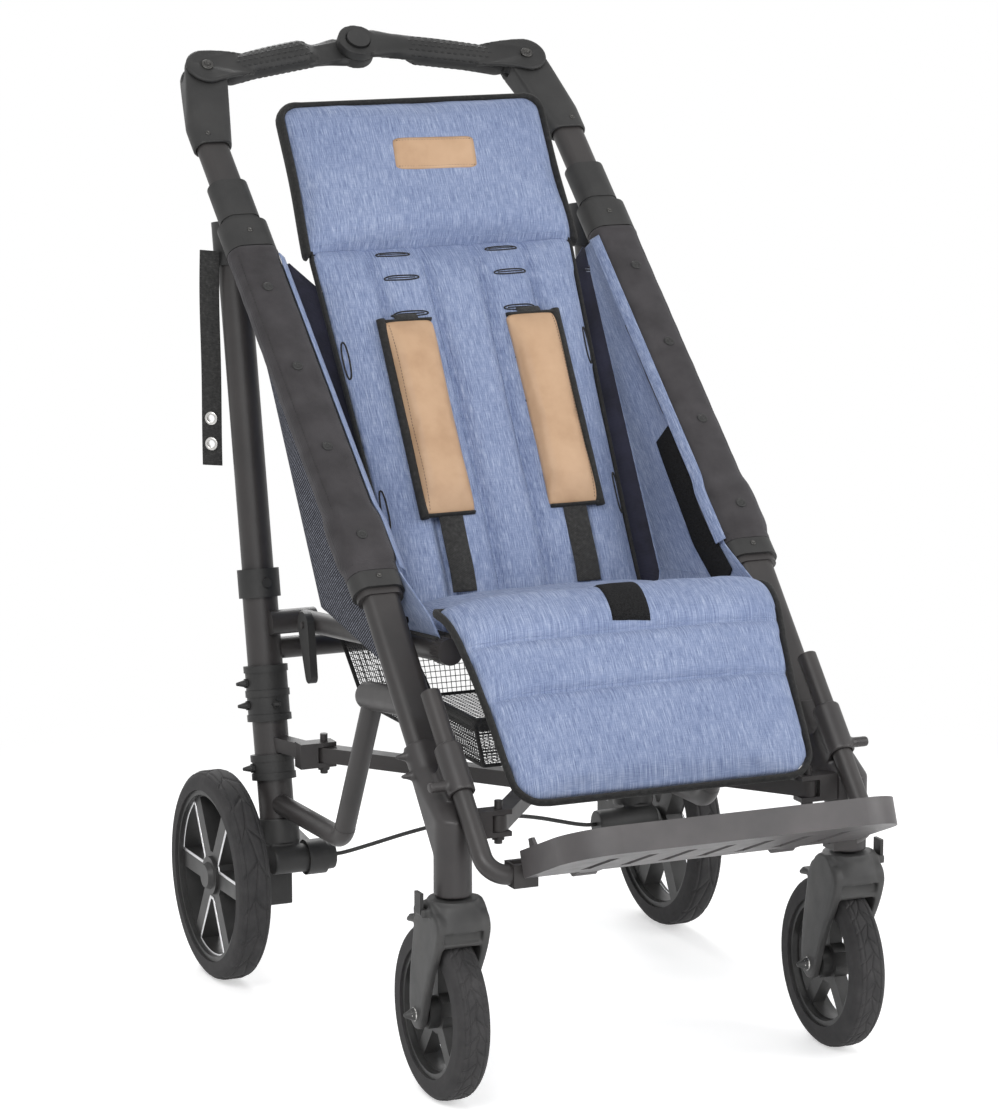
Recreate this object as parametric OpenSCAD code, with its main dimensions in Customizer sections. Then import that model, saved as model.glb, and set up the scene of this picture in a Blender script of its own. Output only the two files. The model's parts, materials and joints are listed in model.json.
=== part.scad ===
// Folding special needs buggy: two tubular side frames joined by a scissor brace,
// a two-part push handle, casters, a swing-up footplate and a padded sling seat.
// X runs across the buggy, Y runs from front to rear, Z is up from the floor.

/* [Side frame] */
// Half spacing of the side frames
tube_x = 234; // [224:1:244]
// Slope of the front tubes above the floor
rake = 41.4; // [40:0.2:43]
// Length of the front tube from its knee to its top end
rake_len = 722; // [712:1:740]
// Width of the middle front tube
mid_w = 54; // [50:1:58]
// Depth of the middle front tube
mid_d = 28; // [26:0.5:30]
// Wall of the frame tubes
wall = 2; // [1.5:0.1:2.5]
// Diameter of the upper rear tube
rear_d = 38; // [34:1:40]
// Diameter of the lower rear tube
rear_low_d = 42; // [41:0.5:43]

/* [Wheels] */
// Diameter of the rear wheels
rear_wheel_d = 250; // [240:1:256]
// Width of the rear tyres
rear_wheel_w = 40; // [34:1:44]
// Diameter of the front wheels
front_wheel_d = 195; // [186:1:200]
// Width of the front tyres
front_wheel_w = 38; // [32:1:42]
// Half spacing of the casters
caster_x = 242; // [240:1:246]
// Trail of the casters
trail = 31; // [26:1:36]

/* [Handle] */
// Rise of the handle pivots past the end of the front tubes, along them
elbow_rise = 83; // [78:1:98]
// Half spacing of the elbow pivots
elbow_x = 212; // [208:1:216]
// Rise of the middle of the handle above the elbow pivots
arch = 41; // [36:1:46]
// Diameter of the disc in the middle of the handle
boss_d = 50; // [46:1:54]

/* [Footrest] */
// Half spacing of the hanger tubes
hanger_x = 232; // [230:1:236]
// Diameter of the hanger tubes
hanger_d = 22; // [20:0.5:24]
// Depth of the footplate from its rod to its front rim
plate_len = 165; // [150:1:175]
// Upward tilt of the footplate
plate_tilt = 22; // [18:1:28]
// Height of the rim of the footplate
rim_h = 30; // [24:1:34]

/* [Seat] */
// Half width of the back pad
back_half = 158; // [150:1:162]
// Length of the back pad
back_len = 450; // [430:1:460]
// Thickness of the back pad at its crown
back_t = 34; // [28:1:38]
// Half width of the headrest
head_half = 174; // [166:1:180]
// Length of the headrest
head_len = 190; // [180:1:200]
// Thickness of the headrest at its crown
head_t = 36; // [30:1:40]
// Thickness of the seat pad at its crown
seat_t = 30; // [26:1:34]
// Half width of the calf flap at its top
flap_top_half = 206; // [200:1:208]
// Half width of the calf flap at its bottom
flap_low_half = 178; // [170:1:184]
// Thickness of the calf flap at its crown
flap_t = 26; // [22:1:30]

/* [Hidden] */
$fn = 48;
eps = 0.5;
// Clearances: fixed fit, running fit, soft parts, moving parts
fit = 0.1;
run = 0.05;
soft_gap = 0.3;
move_gap = 1;

// Points of the side frame as [y, z]
knee = [-250, 520];
lower_end = [-425, 330];
rear_foot = [70, 176];
upper_show = 162;
mid_top = rake_len - upper_show;
join_rise = 36;
join_up = mid_top + join_rise;
head_set = [10.93, -26.14];
rear_head = knee + join_up * [cos(rake), sin(rake)] + head_set;
elbow_up = rake_len + elbow_rise;
rear_axle = [103, rear_wheel_d / 2];
stem_y = -468;
front_axle = [stem_y + trail, front_wheel_d / 2];

// Sections of the front tube
upper_w = 40;
upper_d = 22;
lower_w = 44;
lower_d = 24;
upper_start = mid_top - 40;

lower_len = norm(lower_end - knee);
lower_rake = atan2(knee[1] - lower_end[1], knee[0] - lower_end[0]);
rear_len = norm(rear_head - rear_foot);
rear_lean = atan2(rear_head[0] - rear_foot[0], rear_head[1] - rear_foot[1]);

// Collars
collar_t = 4;
collar_h = 42;
low_collar_h = 30;
rim_step = 1.5;
rim_len = 8;

plug_len = 12;
rear_step = 300;
clamp_h = 34;
double_z = 136;
double_h = 66;
low_z = 66;

// Join of the rear tube to the front tube
rear_head_gap = 6;
join_len = 56;
join_t = 5;
socket_t = 4;
socket_h = 46;

// Casters
stem_d = 14;
housing_d = 42;
fork_rise = 41;
housing_low = front_wheel_d + fork_rise;
housing_h = 86;
housing_top = housing_low + housing_h;
housing_neck = 40;
cast_t = 5;
cast_grip = 70;
stem_len = 60;
stem_room = 4;
crown_d = 56;
crown_gap = 2;
crown_top = housing_low - crown_gap;
leg_t = 10;
leg_gap = 3;
wheel_gap = 6;
crown_low = front_wheel_d + wheel_gap;
crown_web = 12;
leg_crown_r = 24;
leg_axle_r = 15;
leg_x = front_wheel_w / 2 + leg_gap + leg_t / 2;
axle_d = 10;
nut_h = 9;
nut_d = 15;
nut_dome_share = 0.8;
axle_half = leg_x + leg_t;
rim_wall = 6;
rim_inset = 3;
rim_lip = 2;
rear_spoke_w = 22;
front_spoke_w = 16;
shoulder_share = 0.6;
rear_tyre_t = 22;
rear_hub_d = 46;
rear_hub_w = 30;
rear_web = 22;
front_tyre_t = 24;
front_hub_d = 36;
front_hub_w = front_wheel_w + leg_gap;
front_web = 16;

// Rear hubs and brakes
rear_wheel_out = 316;
brake_w = 36;
brake_h = 74;
brake_len = 64;
barrel_d = 34;
barrel_len = 42;
barrel_at = [48, 150];
stub_end = rear_wheel_out - rear_wheel_w / 2 + rear_hub_w / 2 - move_gap;
foot_sink = 10;
foot_grip = 20;
cap_hub_d = 34;
cap_hub_h = 6;
pedal_len = 76;
pedal_w = 48;
pedal_t = 9;
pedal_tilt = 8;

// Brace
brace_w = 20;
brace_h = 18;
brace_pin_d = 9;
brace_front = [189, -470, 313];
brace_rear = [192, 28, 280];
brace_apex_y = -223;
brace_slot = 8;
fork_gap = 0.6;
bracket_h = 30;
bracket_out = 2;
bracket_in = 1;
bracket_web = 23;
bracket_arm = 18;
arm_drop = 3;
link_eye_d = 34;
lap_relief = 3;

// Cross tube
cross_at = [112, 393];
cross_out_d = 26;
cross_in_d = 20;
cross_reach = 8;

// Strut
strut_d = 24;
strut_r = 30;
strut_top = [-228, 404];
strut_low = [-132, 218];
strut_back = [58, 214];
strut_seat = [-330, 420];
seat_share = 0.02;

// Seat rails
rail_x = 190;
rail_d = 26;
rail_front = [-318, 473];
rail_back = [96, 428];
cap_d = 30;
cap_len = 26;
rib_count = 18;
rib_d = 4;

// Handle
grip_h = 30;
grip_d = 26;
elbow_r = 26;
elbow_t = 32;
tongue_t = 14;
tongue_w = 26;
tongue_inset = 3;
run_side = 0.4;
elbow_grip = 36;
grip_from = 31;
screw_h = 1.5;
boss_h = 13;
button_gap = 0.1;
button_rest = 0.3;
pivot_d = 10;
lap_len = 74;
lap_gap = 0.4;
button_d = 29;
button_h = 5;
button_travel = 3;
button_z = lap_gap / 2 + boss_h - button_h + button_travel + button_rest;

// Footrest
sleeve_d = 31;
sleeve_len = 60;
hanger_off = 46;
hanger_top = 110;
hanger_low = 95;
bend_r = 25;
hinge_x = 192;
hinge_d = 26;
hinge_pin_d = 8;
cheek_gap = 13;
web_t = 3;
stub_d = 12;
stub_tip_x = 268;
sleeve_from = -18;
lug_w = 26;
lug_share = 0.7;
rod_eye_d = 18;
slot_pairs = 3;
slot_step = 46;
slot_w = 12;
slot_len = 80;
ear_in = 12;
ear_len = 34;
ear_h = 34;
rod_d = 12;
knuckle_d = 20;
knuckle_w = 26;
knuckle_x = 120;
plate_t = 4;
plate_r = 55;
plate_half = 200;
plate_back = 20;
deck_drop = 8;

// Latch, swivel locks and nuts
latch_at = [40, 434];
latch_r = 16;
latch_tip_r = 9;
latch_len = 58;
latch_t = 9;
latch_pin_d = 8;
lock_d = 9;
lock_w = 16;
lock_t = 4;
lock_len = 22;
lock_pin_d = 4;
lock_ear_t = 4;
lock_drop = 12;
lock_x = leg_x + leg_t / 2 + lock_d / 2 + move_gap;
lock_z = crown_top - lock_drop;
acorn_d = 11;
acorn_h = 10;
acorn_tip_share = 0.35;
bolt_share = 0.3;
collar_bolt_shares = [0.3, 0.7];
cast_bolt_shares = [0.5, 0.85];

// Soft goods as [y, z]
cloth_t = 3;
crease = [-108, 474];
back_lean = 58.6;
back_taper = 14;
pad_gap = 0.3;
pad_edge = 10;
pad_pull = 4;
head_taper = 4;
seam_depth_share = 0.35;
seam_w_share = 0.035;
no_seam_share = -9;
back_seam_shares = [0.2, 0.4, 0.6, 0.8];
flap_seam_shares = [0.42, 0.66];
seat_half = 186;
seat_back = [-138, 466.85];
seat_front = [-326, 489.4];
flap_top = [-326.4, 492];
flap_corner = [-362, 500];
flap_low = [-500, 334];
flap_roll_share = 0.2;
strap_x = 79;
strap_half = 12.5;
strap_t = 2.5;
strap_off = 0.3;
strap_z = back_t + strap_off;
strap_from = 34;
pad_half = 25;
pad_from = 110;
pad_to = 340;
shoulder_t = 15;
hang_y = 198;
hang_top = 862;
hang_low = 604;
eyelet_d = 8;
eyelet_z = 26;
eyelet_step = 30;
panel_top_x = back_half + cloth_t + soft_gap;
panel_tube_x = tube_x - mid_w / 2 - collar_t - soft_gap;
panel_low_x = back_half - back_taper + cloth_t + soft_gap;
panel_off = 5;
panel_top_along = 430;
panel_tube = [-226, 541];
panel_front = [-318, 504];
panel_low_along = 20;
sleeve_t = 3.5;
basket_half = 150;
basket_top_half = 176.4;
basket_front = -360;
basket_back = 24;
basket_low = 342;
basket_top = 434;
basket_slant = 18;
basket_mouth = 392;
mouth_share = 0.35;
cable_d = 5;
cable_route = [[-173.6, 48, 150], [-160, 47, 151], [-140, 42, 156], [-115, 33, 164], [-90, 24, 172],
    [-60, 14, 180], [-30, 8, 185], [0, 6, 187], [30, 8, 185], [60, 14, 180], [90, 24, 172],
    [115, 33, 164], [140, 42, 156], [160, 47, 151], [173.6, 48, 150]];

// The depth of the rear tube's axis at a height
function rear_at(z) = rear_foot[0] + (z - rear_foot[1]) * tan(rear_lean);

// A place on the lower front tube, from its distance along the tube and off it
function on_lower_at(along, off) = lower_end
    + along * [cos(lower_rake), sin(lower_rake)]
    + off * [-sin(lower_rake), cos(lower_rake)];

// Axis of the footplate rod, overall reach and the middle of the length, where the origin lies
rod_at = on_lower_at(-hanger_low - bend_r, hanger_off);
half_len = norm([elbow_x, arch]);
rear_reach = knee[0] + (elbow_up + arch + boss_d / 2) * cos(rake) + grip_d / 2 * sin(rake);
front_reach = rod_at[0] - plate_len * cos(plate_tilt) - deck_drop * sin(plate_tilt);
mid_y = (rear_reach + front_reach) / 2;

module stadium(w, d) {
    square([w - d, d], center = true);
    for (s = [-1, 1])
        translate([s * (w - d) / 2, 0])
            circle(d = d);
}

// Placing: s is 1 for the right side (+X) and -1 for the left side
module side(s) {
    translate([0, -mid_y, 0])
        mirror([s < 0 ? 1 : 0, 0, 0])
            children();
}

// Frame of the upper front tube: Y runs up along the tube, Z points forward and up
module on_rake() {
    translate([0, knee[0], knee[1]])
        rotate([rake, 0, 0])
            children();
}

// Frame of the lower front tube, from its lower end
module on_lower() {
    translate([0, lower_end[0], lower_end[1]])
        rotate([lower_rake, 0, 0])
            children();
}

// Frame of the rear tube: Z runs up along the tube
module on_rear() {
    translate([tube_x, rear_foot[0], rear_foot[1]])
        rotate([-rear_lean, 0, 0])
            children();
}

// Frame of the footplate: -Y runs forward along the plate
module on_plate() {
    translate([0, rod_at[0], rod_at[1]])
        rotate([-plate_tilt, 0, 0])
            children();
}

module run_y(h) {
    rotate([-90, 0, 0])
        linear_extrude(h)
            children();
}

module flat_bar(w, d, from, to) {
    translate([0, from, 0])
        run_y(to - from)
            stadium(w, d);
}

module flat_tube(w, d, from, to) {
    difference() {
        flat_bar(w, d, from, to);
        flat_bar(w - 2 * wall, d - 2 * wall, from - eps, to + eps);
    }
}

module flat_ring(w, d, t, from, to) {
    difference() {
        flat_bar(w + 2 * t, d + 2 * t, from, to);
        flat_bar(w + 2 * fit, d + 2 * fit, from - eps, to + eps);
    }
}

module ring(d, t, h) {
    difference() {
        cylinder(d = d + 2 * t, h = h);
        translate([0, 0, -eps])
            cylinder(d = d + 2 * fit, h = h + 2 * eps);
    }
}

// A round bar in the plane of a side frame between two [y, z] points
module bar_yz(p, q, d) {
    translate([0, p[0], p[1]])
        rotate([-atan2(q[0] - p[0], q[1] - p[1]), 0, 0])
            cylinder(d = d, h = norm(q - p));
}

// A round bar in the plane of a side frame from p to q, with a slightly fuller bend at a corner c
module bent_yz(p, c, q, r, d) {
    from = atan2(c[1] - p[1], c[0] - p[0]);
    to = atan2(q[1] - c[1], q[0] - c[0]);
    turn = (to - from + 540) % 360 - 180;
    left = turn > 0 ? 1 : -1;
    reach = r * tan(abs(turn) / 2);
    start = c - (reach - eps) * [cos(from), sin(from)];
    finish = c + (reach - eps) * [cos(to), sin(to)];
    middle = c - reach * [cos(from), sin(from)] + r * left * [-sin(from), cos(from)];
    bar_yz(p, start, d);
    bar_yz(finish, q, d);
    rotate([90, 0, 90])
        translate(middle)
            rotate(left > 0 ? from - 90 : to + 90)
                rotate_extrude(angle = abs(turn))
                    translate([r, 0])
                        circle(d = d + 2 * soft_gap);
}

// Front tube: three flat-oval sections, closed where one enters the next
module front_tube(s) {
    color("#2b2928")
        side(s)
            translate([tube_x, 0, 0]) {
                on_rake() {
                    flat_tube(upper_w, upper_d, upper_start, rake_len);
                    flat_tube(mid_w, mid_d, 0, mid_top);
                    difference() {
                        flat_bar(mid_w, mid_d, mid_top - plug_len, mid_top);
                        flat_bar(upper_w - 2 * wall, upper_d - 2 * wall, mid_top - plug_len - eps,
                            mid_top + eps);
                    }
                    flat_bar(mid_w, mid_d, 0, plug_len);
                }
                on_lower()
                    flat_tube(lower_w, lower_d, 0, lower_len + plug_len / 2);
            }
}

// Plastic collars where the sections of the front tube meet, and the join bracket
module front_collars(s) {
    join_bracket(s);
    color("#232120")
        side(s)
            translate([tube_x, 0, 0])
                on_rake() {
                    difference() {
                        union() {
                            flat_bar(mid_w + 2 * collar_t, mid_d + 2 * collar_t, mid_top - collar_h, mid_top);
                            flat_bar(upper_w + 2 * collar_t, upper_d + 2 * collar_t, mid_top,
                                mid_top + rim_len);
                        }
                        flat_bar(mid_w + 2 * fit, mid_d + 2 * fit, mid_top - collar_h - eps, mid_top + fit);
                        flat_bar(upper_w + 2 * fit, upper_d + 2 * fit, mid_top, mid_top + rim_len + eps);
                    }
                    flat_ring(mid_w, mid_d, collar_t, rim_len, low_collar_h);
                }
}

// Round rear tube in two sections
module rear_tube(s) {
    color("#2b2928")
        side(s)
            on_rear()
                difference() {
                    union() {
                        cylinder(d = rear_low_d, h = rear_step);
                        cylinder(d = rear_d, h = rear_len);
                    }
                    translate([0, 0, plug_len])
                        cylinder(d = rear_d - 2 * wall, h = rear_len);
                }
}

module stepped_collar(d, h) {
    ring(d, collar_t, h);
    for (z = [0, h - rim_len])
        translate([0, 0, z])
            ring(d, collar_t + rim_step, rim_len);
}

// Collars on the rear tube: section clamp, double brace collar and low brace collar
module rear_collars(s) {
    color("#191919")
        side(s)
            rear_bolts();
    color("#232120")
        side(s)
            on_rear() {
                difference() {
                    translate([0, 0, rear_step - clamp_h / 2])
                        cylinder(d = rear_low_d + 2 * collar_t, h = clamp_h);
                    translate([0, 0, -eps])
                        cylinder(d = rear_low_d + 2 * fit, h = rear_step + fit + eps);
                    cylinder(d = rear_d + 2 * fit, h = rear_len);
                }
                translate([0, 0, double_z])
                    stepped_collar(rear_low_d, double_h);
                translate([0, 0, double_z + double_h / 2 - rim_len / 2])
                    ring(rear_low_d, collar_t + rim_step, rim_len);
                translate([0, 0, low_z])
                    stepped_collar(rear_low_d, low_collar_h);
            }
}

// Bracket that clamps the head of the rear tube under the front tube
module join_bracket(s) {
    color("#232120")
        side(s)
            difference() {
                union() {
                    translate([tube_x, 0, 0])
                        on_rake()
                            flat_bar(upper_w + 2 * join_t, upper_d + 2 * join_t, join_up - join_len / 2,
                                join_up + join_len / 2);
                    on_rear()
                        translate([0, 0, rear_len - socket_h])
                            cylinder(d = rear_d + 2 * socket_t, h = socket_h + rear_head_gap);
                }
                translate([tube_x, 0, 0])
                    on_rake()
                        flat_bar(upper_w + 2 * fit, upper_d + 2 * fit, 0, rake_len);
                on_rear()
                    cylinder(d = rear_d + 2 * fit, h = rear_len + fit);
            }
}

// Elbow at the top of the front tube, with its pivot pin across the slot
module elbow(s) {
    color("#1f1e1e")
        side(s)
            on_rake() {
                difference() {
                    hull() {
                        translate([tube_x, 0, 0])
                            flat_bar(upper_w + 2 * collar_t, upper_d + 2 * collar_t, rake_len - elbow_grip,
                                rake_len);
                        translate([elbow_x, elbow_up, 0])
                            cylinder(r = elbow_r, h = elbow_t, center = true, $fn = 32);
                    }
                    translate([tube_x, 0, 0])
                        flat_bar(upper_w + 2 * fit, upper_d + 2 * fit, rake_len - elbow_grip - eps,
                            rake_len + fit);
                    translate([elbow_x, elbow_up, 0])
                        cylinder(r = elbow_r + move_gap, h = tongue_t, center = true);
                }
                translate([elbow_x, elbow_up, 0])
                    cylinder(d = pivot_d, h = elbow_t + 2 * screw_h, center = true);
            }
}

// Half of the push handle: a tongue in the elbow, an oval grip and half of the lapped centre
module handle_half(s) {
    color("#262525")
        side(s)
            on_rake()
                translate([elbow_x, elbow_up, 0])
                    rotate([0, 0, 180 - atan2(arch, elbow_x)])
                        mirror([0, 0, s < 0 ? 1 : 0])
                            handle_shape(s);
}

module handle_shape(s) {
    difference() {
        union() {
            cylinder(r = elbow_r - tongue_inset, h = tongue_t - 2 * run_side, center = true);
            rotate([90, 0, 90])
                linear_extrude(grip_from + eps)
                    square([tongue_w, tongue_t - 2 * run_side], center = true);
            translate([grip_from, 0, 0])
                rotate([90, 0, 90])
                    linear_extrude(half_len - lap_len - grip_from)
                        stadium(grip_h, grip_d);
            difference() {
                translate([half_len - lap_len - eps, 0, 0])
                    rotate([90, 0, 90])
                        linear_extrude(lap_len + eps)
                            stadium(grip_h, grip_d);
                translate([half_len - lap_len, -grip_h, -grip_d])
                    cube([2 * lap_len, 2 * grip_h, grip_d + lap_gap / 2]);
            }
            translate([half_len, 0, lap_gap / 2])
                cylinder(d = boss_d, h = boss_h);
        }
        cylinder(d = pivot_d + 2 * run, h = elbow_t, center = true);
        if (s > 0)
            translate([half_len, 0, lap_gap / 2 + boss_h - button_h])
                cylinder(d = button_d + 2 * button_gap, h = button_h + eps);
    }
}

// Push button in the centre of the handle
module handle_button() {
    color("#141414")
        side(1)
            on_rake()
                translate([elbow_x, elbow_up, 0])
                    rotate([0, 0, 180 - atan2(arch, elbow_x)])
                        translate([half_len, 0, button_z])
                            cylinder(d = button_d, h = button_h - button_rest);
}

// Cast caster housing on the lower end of the front tube
module caster_housing(s) {
    hanger_sleeve(s);
    color("#191919")
        side(s)
            front_bolts();
    color("#2a2827")
        side(s)
            difference() {
                union() {
                    translate([caster_x, stem_y, housing_low])
                        cylinder(d = housing_d, h = housing_top - housing_low);
                    cast_neck(soft_gap);
                    translate([tube_x, 0, 0])
                        on_lower()
                            flat_bar(lower_w + 2 * cast_t, lower_d + 2 * cast_t, 0, cast_grip);
                }
                translate([tube_x, 0, 0])
                    on_lower()
                        flat_bar(lower_w + 2 * fit, lower_d + 2 * fit, -fit, lower_len);
                translate([caster_x, stem_y, housing_low - eps])
                    cylinder(d = stem_d + 2 * run, h = stem_len + stem_room + eps);
                on_lower()
                    translate([hanger_x, -hanger_low, hanger_off])
                        run_y(hanger_low + hanger_top)
                            circle(d = hanger_d + 2 * move_gap);
            }
}

// Neck of the casting between the caster housing and the front tube
module cast_neck(grow) {
    hull() {
        translate([caster_x, stem_y, housing_top - housing_neck])
            cylinder(d = housing_d + 2 * grow, h = housing_neck + grow, $fn = 32);
        translate([tube_x, 0, 0])
            on_lower()
                flat_bar(lower_w + 2 * (cast_t + grow), lower_d + 2 * (cast_t + grow), grow, cast_grip / 2);
    }
}

// Sleeve that guides the hanger tube, on a lug of the caster housing, with its lock pin
module hanger_sleeve(s) {
    color("#232120")
        side(s)
            on_lower()
                difference() {
                    union() {
                        translate([hanger_x, sleeve_from, hanger_off])
                            run_y(sleeve_len)
                                circle(d = sleeve_d);
                        translate([hanger_x - lug_w / 2, sleeve_from, lower_d / 2 + cast_t + fit])
                            cube([lug_w, sleeve_len * lug_share, hanger_off - lower_d / 2 - cast_t - fit]);
                        translate([hanger_x, sleeve_from + stub_d, hanger_off])
                            rotate([0, 90, 0])
                                cylinder(d = stub_d, h = stub_tip_x - hanger_x);
                    }
                    translate([hanger_x, sleeve_from - eps, hanger_off])
                        run_y(sleeve_len + 2 * eps)
                            circle(d = hanger_d + 2 * run);
                }
}

// Hanger tube with an inward bend and, on the left, the clevis of the footplate rod
module hanger(s) {
    color("#2b2928")
        side(s) {
            on_lower()
                difference() {
                    translate([0, 0, hanger_off])
                        union() {
                            translate([hanger_x, -hanger_low, 0])
                                run_y(hanger_low + hanger_top)
                                    circle(d = hanger_d);
                            translate([hanger_x - bend_r, -hanger_low, 0])
                                rotate([0, 0, -90])
                                    rotate_extrude(angle = 90)
                                        translate([bend_r, 0])
                                            circle(d = hanger_d);
                        }
                    translate([hanger_x, -hanger_low + eps, hanger_off])
                        run_y(hanger_low + hanger_top + eps)
                            circle(d = hanger_d - 2 * wall);
                }
            translate([0, rod_at[0], rod_at[1]])
                if (s < 0)
                    rod_clevis();
                else
                    rod_cradle();
        }
}

// Block at the inner end of a hanger, from the bend to past the hinge
module rod_block() {
    translate([hinge_x - hinge_d / 2, -hinge_d / 2, -hinge_d / 2])
        cube([hanger_x - bend_r - hinge_x + hinge_d / 2 + eps, hinge_d, hinge_d]);
}

module rod_clevis() {
    difference() {
        rod_block();
        translate([hinge_x - hinge_d, -cheek_gap / 2, -hinge_d / 2 + web_t])
            cube([hinge_d + hinge_d / 2, cheek_gap, hinge_d]);
    }
    translate([hinge_x, -hinge_d / 2 - screw_h, 0])
        run_y(hinge_d + 2 * screw_h)
            circle(d = hinge_pin_d);
}

module rod_cradle() {
    difference() {
        rod_block();
        translate([hinge_x - hinge_d, 0, 0])
            rotate([0, 90, 0])
                cylinder(d = rod_d + 2 * move_gap, h = 2 * hinge_d);
        translate([hinge_x - hinge_d, -rod_d / 2 - move_gap, 0])
            cube([2 * hinge_d, rod_d + 2 * move_gap, hinge_d]);
    }
}

// Rod that carries the footplate, hinged in the left clevis and resting in the right cradle
module foot_rod() {
    color("#2b2928")
        side(1)
            translate([0, rod_at[0], rod_at[1]])
                difference() {
                    union() {
                        translate([-hinge_x, -cheek_gap / 2 + run_side, 0])
                            run_y(cheek_gap - 2 * run_side)
                                circle(d = rod_eye_d);
                        translate([-hinge_x, 0, 0])
                            rotate([0, 90, 0])
                                cylinder(d = rod_d, h = 2 * hinge_x + hinge_d / 4);
                    }
                    translate([-hinge_x, -hinge_d, 0])
                        run_y(2 * hinge_d)
                            circle(d = hinge_pin_d + 2 * run);
                }
}

module plate_outline(inset) {
    r = plate_r - inset;
    half = plate_half - inset;
    front = plate_len - inset;
    translate([-half, -front + r])
        square([2 * half, front - r - plate_back]);
    translate([-half + r, -front])
        square([2 * half - 2 * r, r + eps]);
    for (x = [-1, 1])
        translate([x * (half - r), -front + r])
            circle(r = r);
}

// Footplate: a band rim round a slotted deck, with two knuckles on the rod and heel ears
module footplate() {
    color("#2a2928")
        side(1)
            on_plate()
                difference() {
                    union() {
                        translate([0, 0, -deck_drop])
                            linear_extrude(rim_h)
                                difference() {
                                    plate_outline(0);
                                    plate_outline(plate_t);
                                    translate([-plate_half + plate_t, -plate_back - plate_t])
                                        square([2 * (plate_half - plate_t), 2 * plate_back]);
                                }
                        translate([0, 0, -deck_drop])
                            linear_extrude(plate_t)
                                difference() {
                                    plate_outline(plate_t / 2);
                                    for (i = [-slot_pairs : slot_pairs])
                                        translate([i * slot_step, -plate_len / 2])
                                            square([slot_w, slot_len], center = true);
                                }
                        for (x = [-knuckle_x, knuckle_x]) {
                            translate([x - knuckle_w / 2, 0, 0])
                                rotate([0, 90, 0])
                                    cylinder(d = knuckle_d, h = knuckle_w);
                            translate([x - knuckle_w / 2, -plate_back - plate_t, -deck_drop])
                                cube([knuckle_w, plate_back + plate_t, deck_drop + plate_t]);
                        }
                        for (x = [-1, 1])
                            translate([x * (plate_half - plate_t / 2 - ear_in) - plate_t / 2, -plate_back, 0])
                                rotate([90, 0, 90])
                                    linear_extrude(plate_t)
                                        polygon([[-ear_len, -deck_drop], [0, -deck_drop], [0, ear_h],
                                            [-ear_len / 4, ear_h]]);
                    }
                    translate([-plate_half, 0, 0])
                        rotate([0, 90, 0])
                            cylinder(d = rod_d + 2 * run, h = 2 * plate_half);
                }
}

// Moulded caster fork with its stem, crown and two legs
module caster_fork(s) {
    front_axle_bolt(s);
    color("#262525")
        side(s)
            translate([caster_x, stem_y, 0])
                difference() {
                    union() {
                        translate([0, 0, crown_low])
                            cylinder(d = crown_d, h = crown_top - crown_low);
                        translate([0, 0, crown_low])
                            cylinder(d = stem_d, h = housing_low + stem_len - crown_low);
                        for (x = [-1, 1])
                            translate([x * leg_x - leg_t / 2, 0, 0])
                                rotate([90, 0, 90])
                                    linear_extrude(leg_t)
                                        hull() {
                                            translate([0, crown_top - leg_crown_r])
                                                circle(r = leg_crown_r, $fn = 32);
                                            translate([trail, front_wheel_d / 2])
                                                circle(r = leg_axle_r, $fn = 32);
                                        }
                        translate([-leg_x, -leg_crown_r, crown_low])
                            cube([2 * leg_x, 2 * leg_crown_r, crown_web]);
                        lock_ears();
                    }
                    translate([-crown_d, trail, front_wheel_d / 2])
                        rotate([0, 90, 0])
                            cylinder(d = axle_d + 2 * fit, h = 2 * crown_d);
                    translate([-front_wheel_w / 2 - leg_gap, trail, front_wheel_d / 2])
                        rotate([0, 90, 0])
                            cylinder(d = front_wheel_d + 2 * wheel_gap, h = front_wheel_w + 2 * leg_gap);
                }
}

// Axle bolt of a caster with an acorn nut at each end
module front_axle_bolt(s) {
    color("#191919")
        side(s)
            translate([caster_x, stem_y + trail, front_wheel_d / 2])
                rotate([0, 90, 0]) {
                    cylinder(d = axle_d, h = 2 * axle_half, center = true);
                    for (x = [-1, 1])
                        mirror([0, 0, x < 0 ? 1 : 0])
                            translate([0, 0, leg_x + leg_t / 2 + fit]) {
                                cylinder(d = nut_d, h = nut_h / 2, $fn = 6);
                                translate([0, 0, nut_h / 2])
                                    cylinder(d1 = nut_d * nut_dome_share, d2 = axle_d / 2, h = nut_h);
                            }
                }
}

// Rim of a wheel: hub, web with openings and a channel that holds the tyre
module wheel_rim(d, tyre_t, w, hub_d, hub_w, bore, count, open_in, open_out, web_w, spoke_w, cap_h = 0) {
    rim_out = d / 2 - tyre_t;
    difference() {
        union() {
            rotate_extrude()
                translate([rim_out - rim_wall, -w / 2 + rim_inset])
                    square([rim_wall, w - 2 * rim_inset]);
            cylinder(d = hub_d, h = hub_w, center = true);
            if (cap_h > 0)
                translate([0, 0, hub_w / 2 - eps])
                    cylinder(d1 = cap_hub_d, d2 = cap_hub_d * nut_dome_share, h = cap_h + eps);
            linear_extrude(web_w, center = true)
                difference() {
                    circle(r = rim_out - rim_wall / 2);
                    for (i = [0 : count - 1])
                        rotate(i * 360 / count)
                            spoke_opening(open_in, open_out, 360 / count, spoke_w);
                }
        }
        translate([0, 0, -w])
            cylinder(d = bore + 2 * run, h = cap_h > 0 ? w + hub_w / 2 - move_gap / 2 : 2 * w);
    }
}

// Opening between two spokes: a slice of a ring with sides parallel to the spokes
module spoke_opening(r_in, r_out, step, gap) {
    difference() {
        circle(r = r_out);
        circle(r = r_in);
        rotate(step / 2)
            translate([-2 * r_out, -gap / 2])
                square([4 * r_out, 2 * r_out]);
        rotate(-step / 2)
            translate([-2 * r_out, -2 * r_out + gap / 2])
                square([4 * r_out, 2 * r_out]);
    }
}

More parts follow.
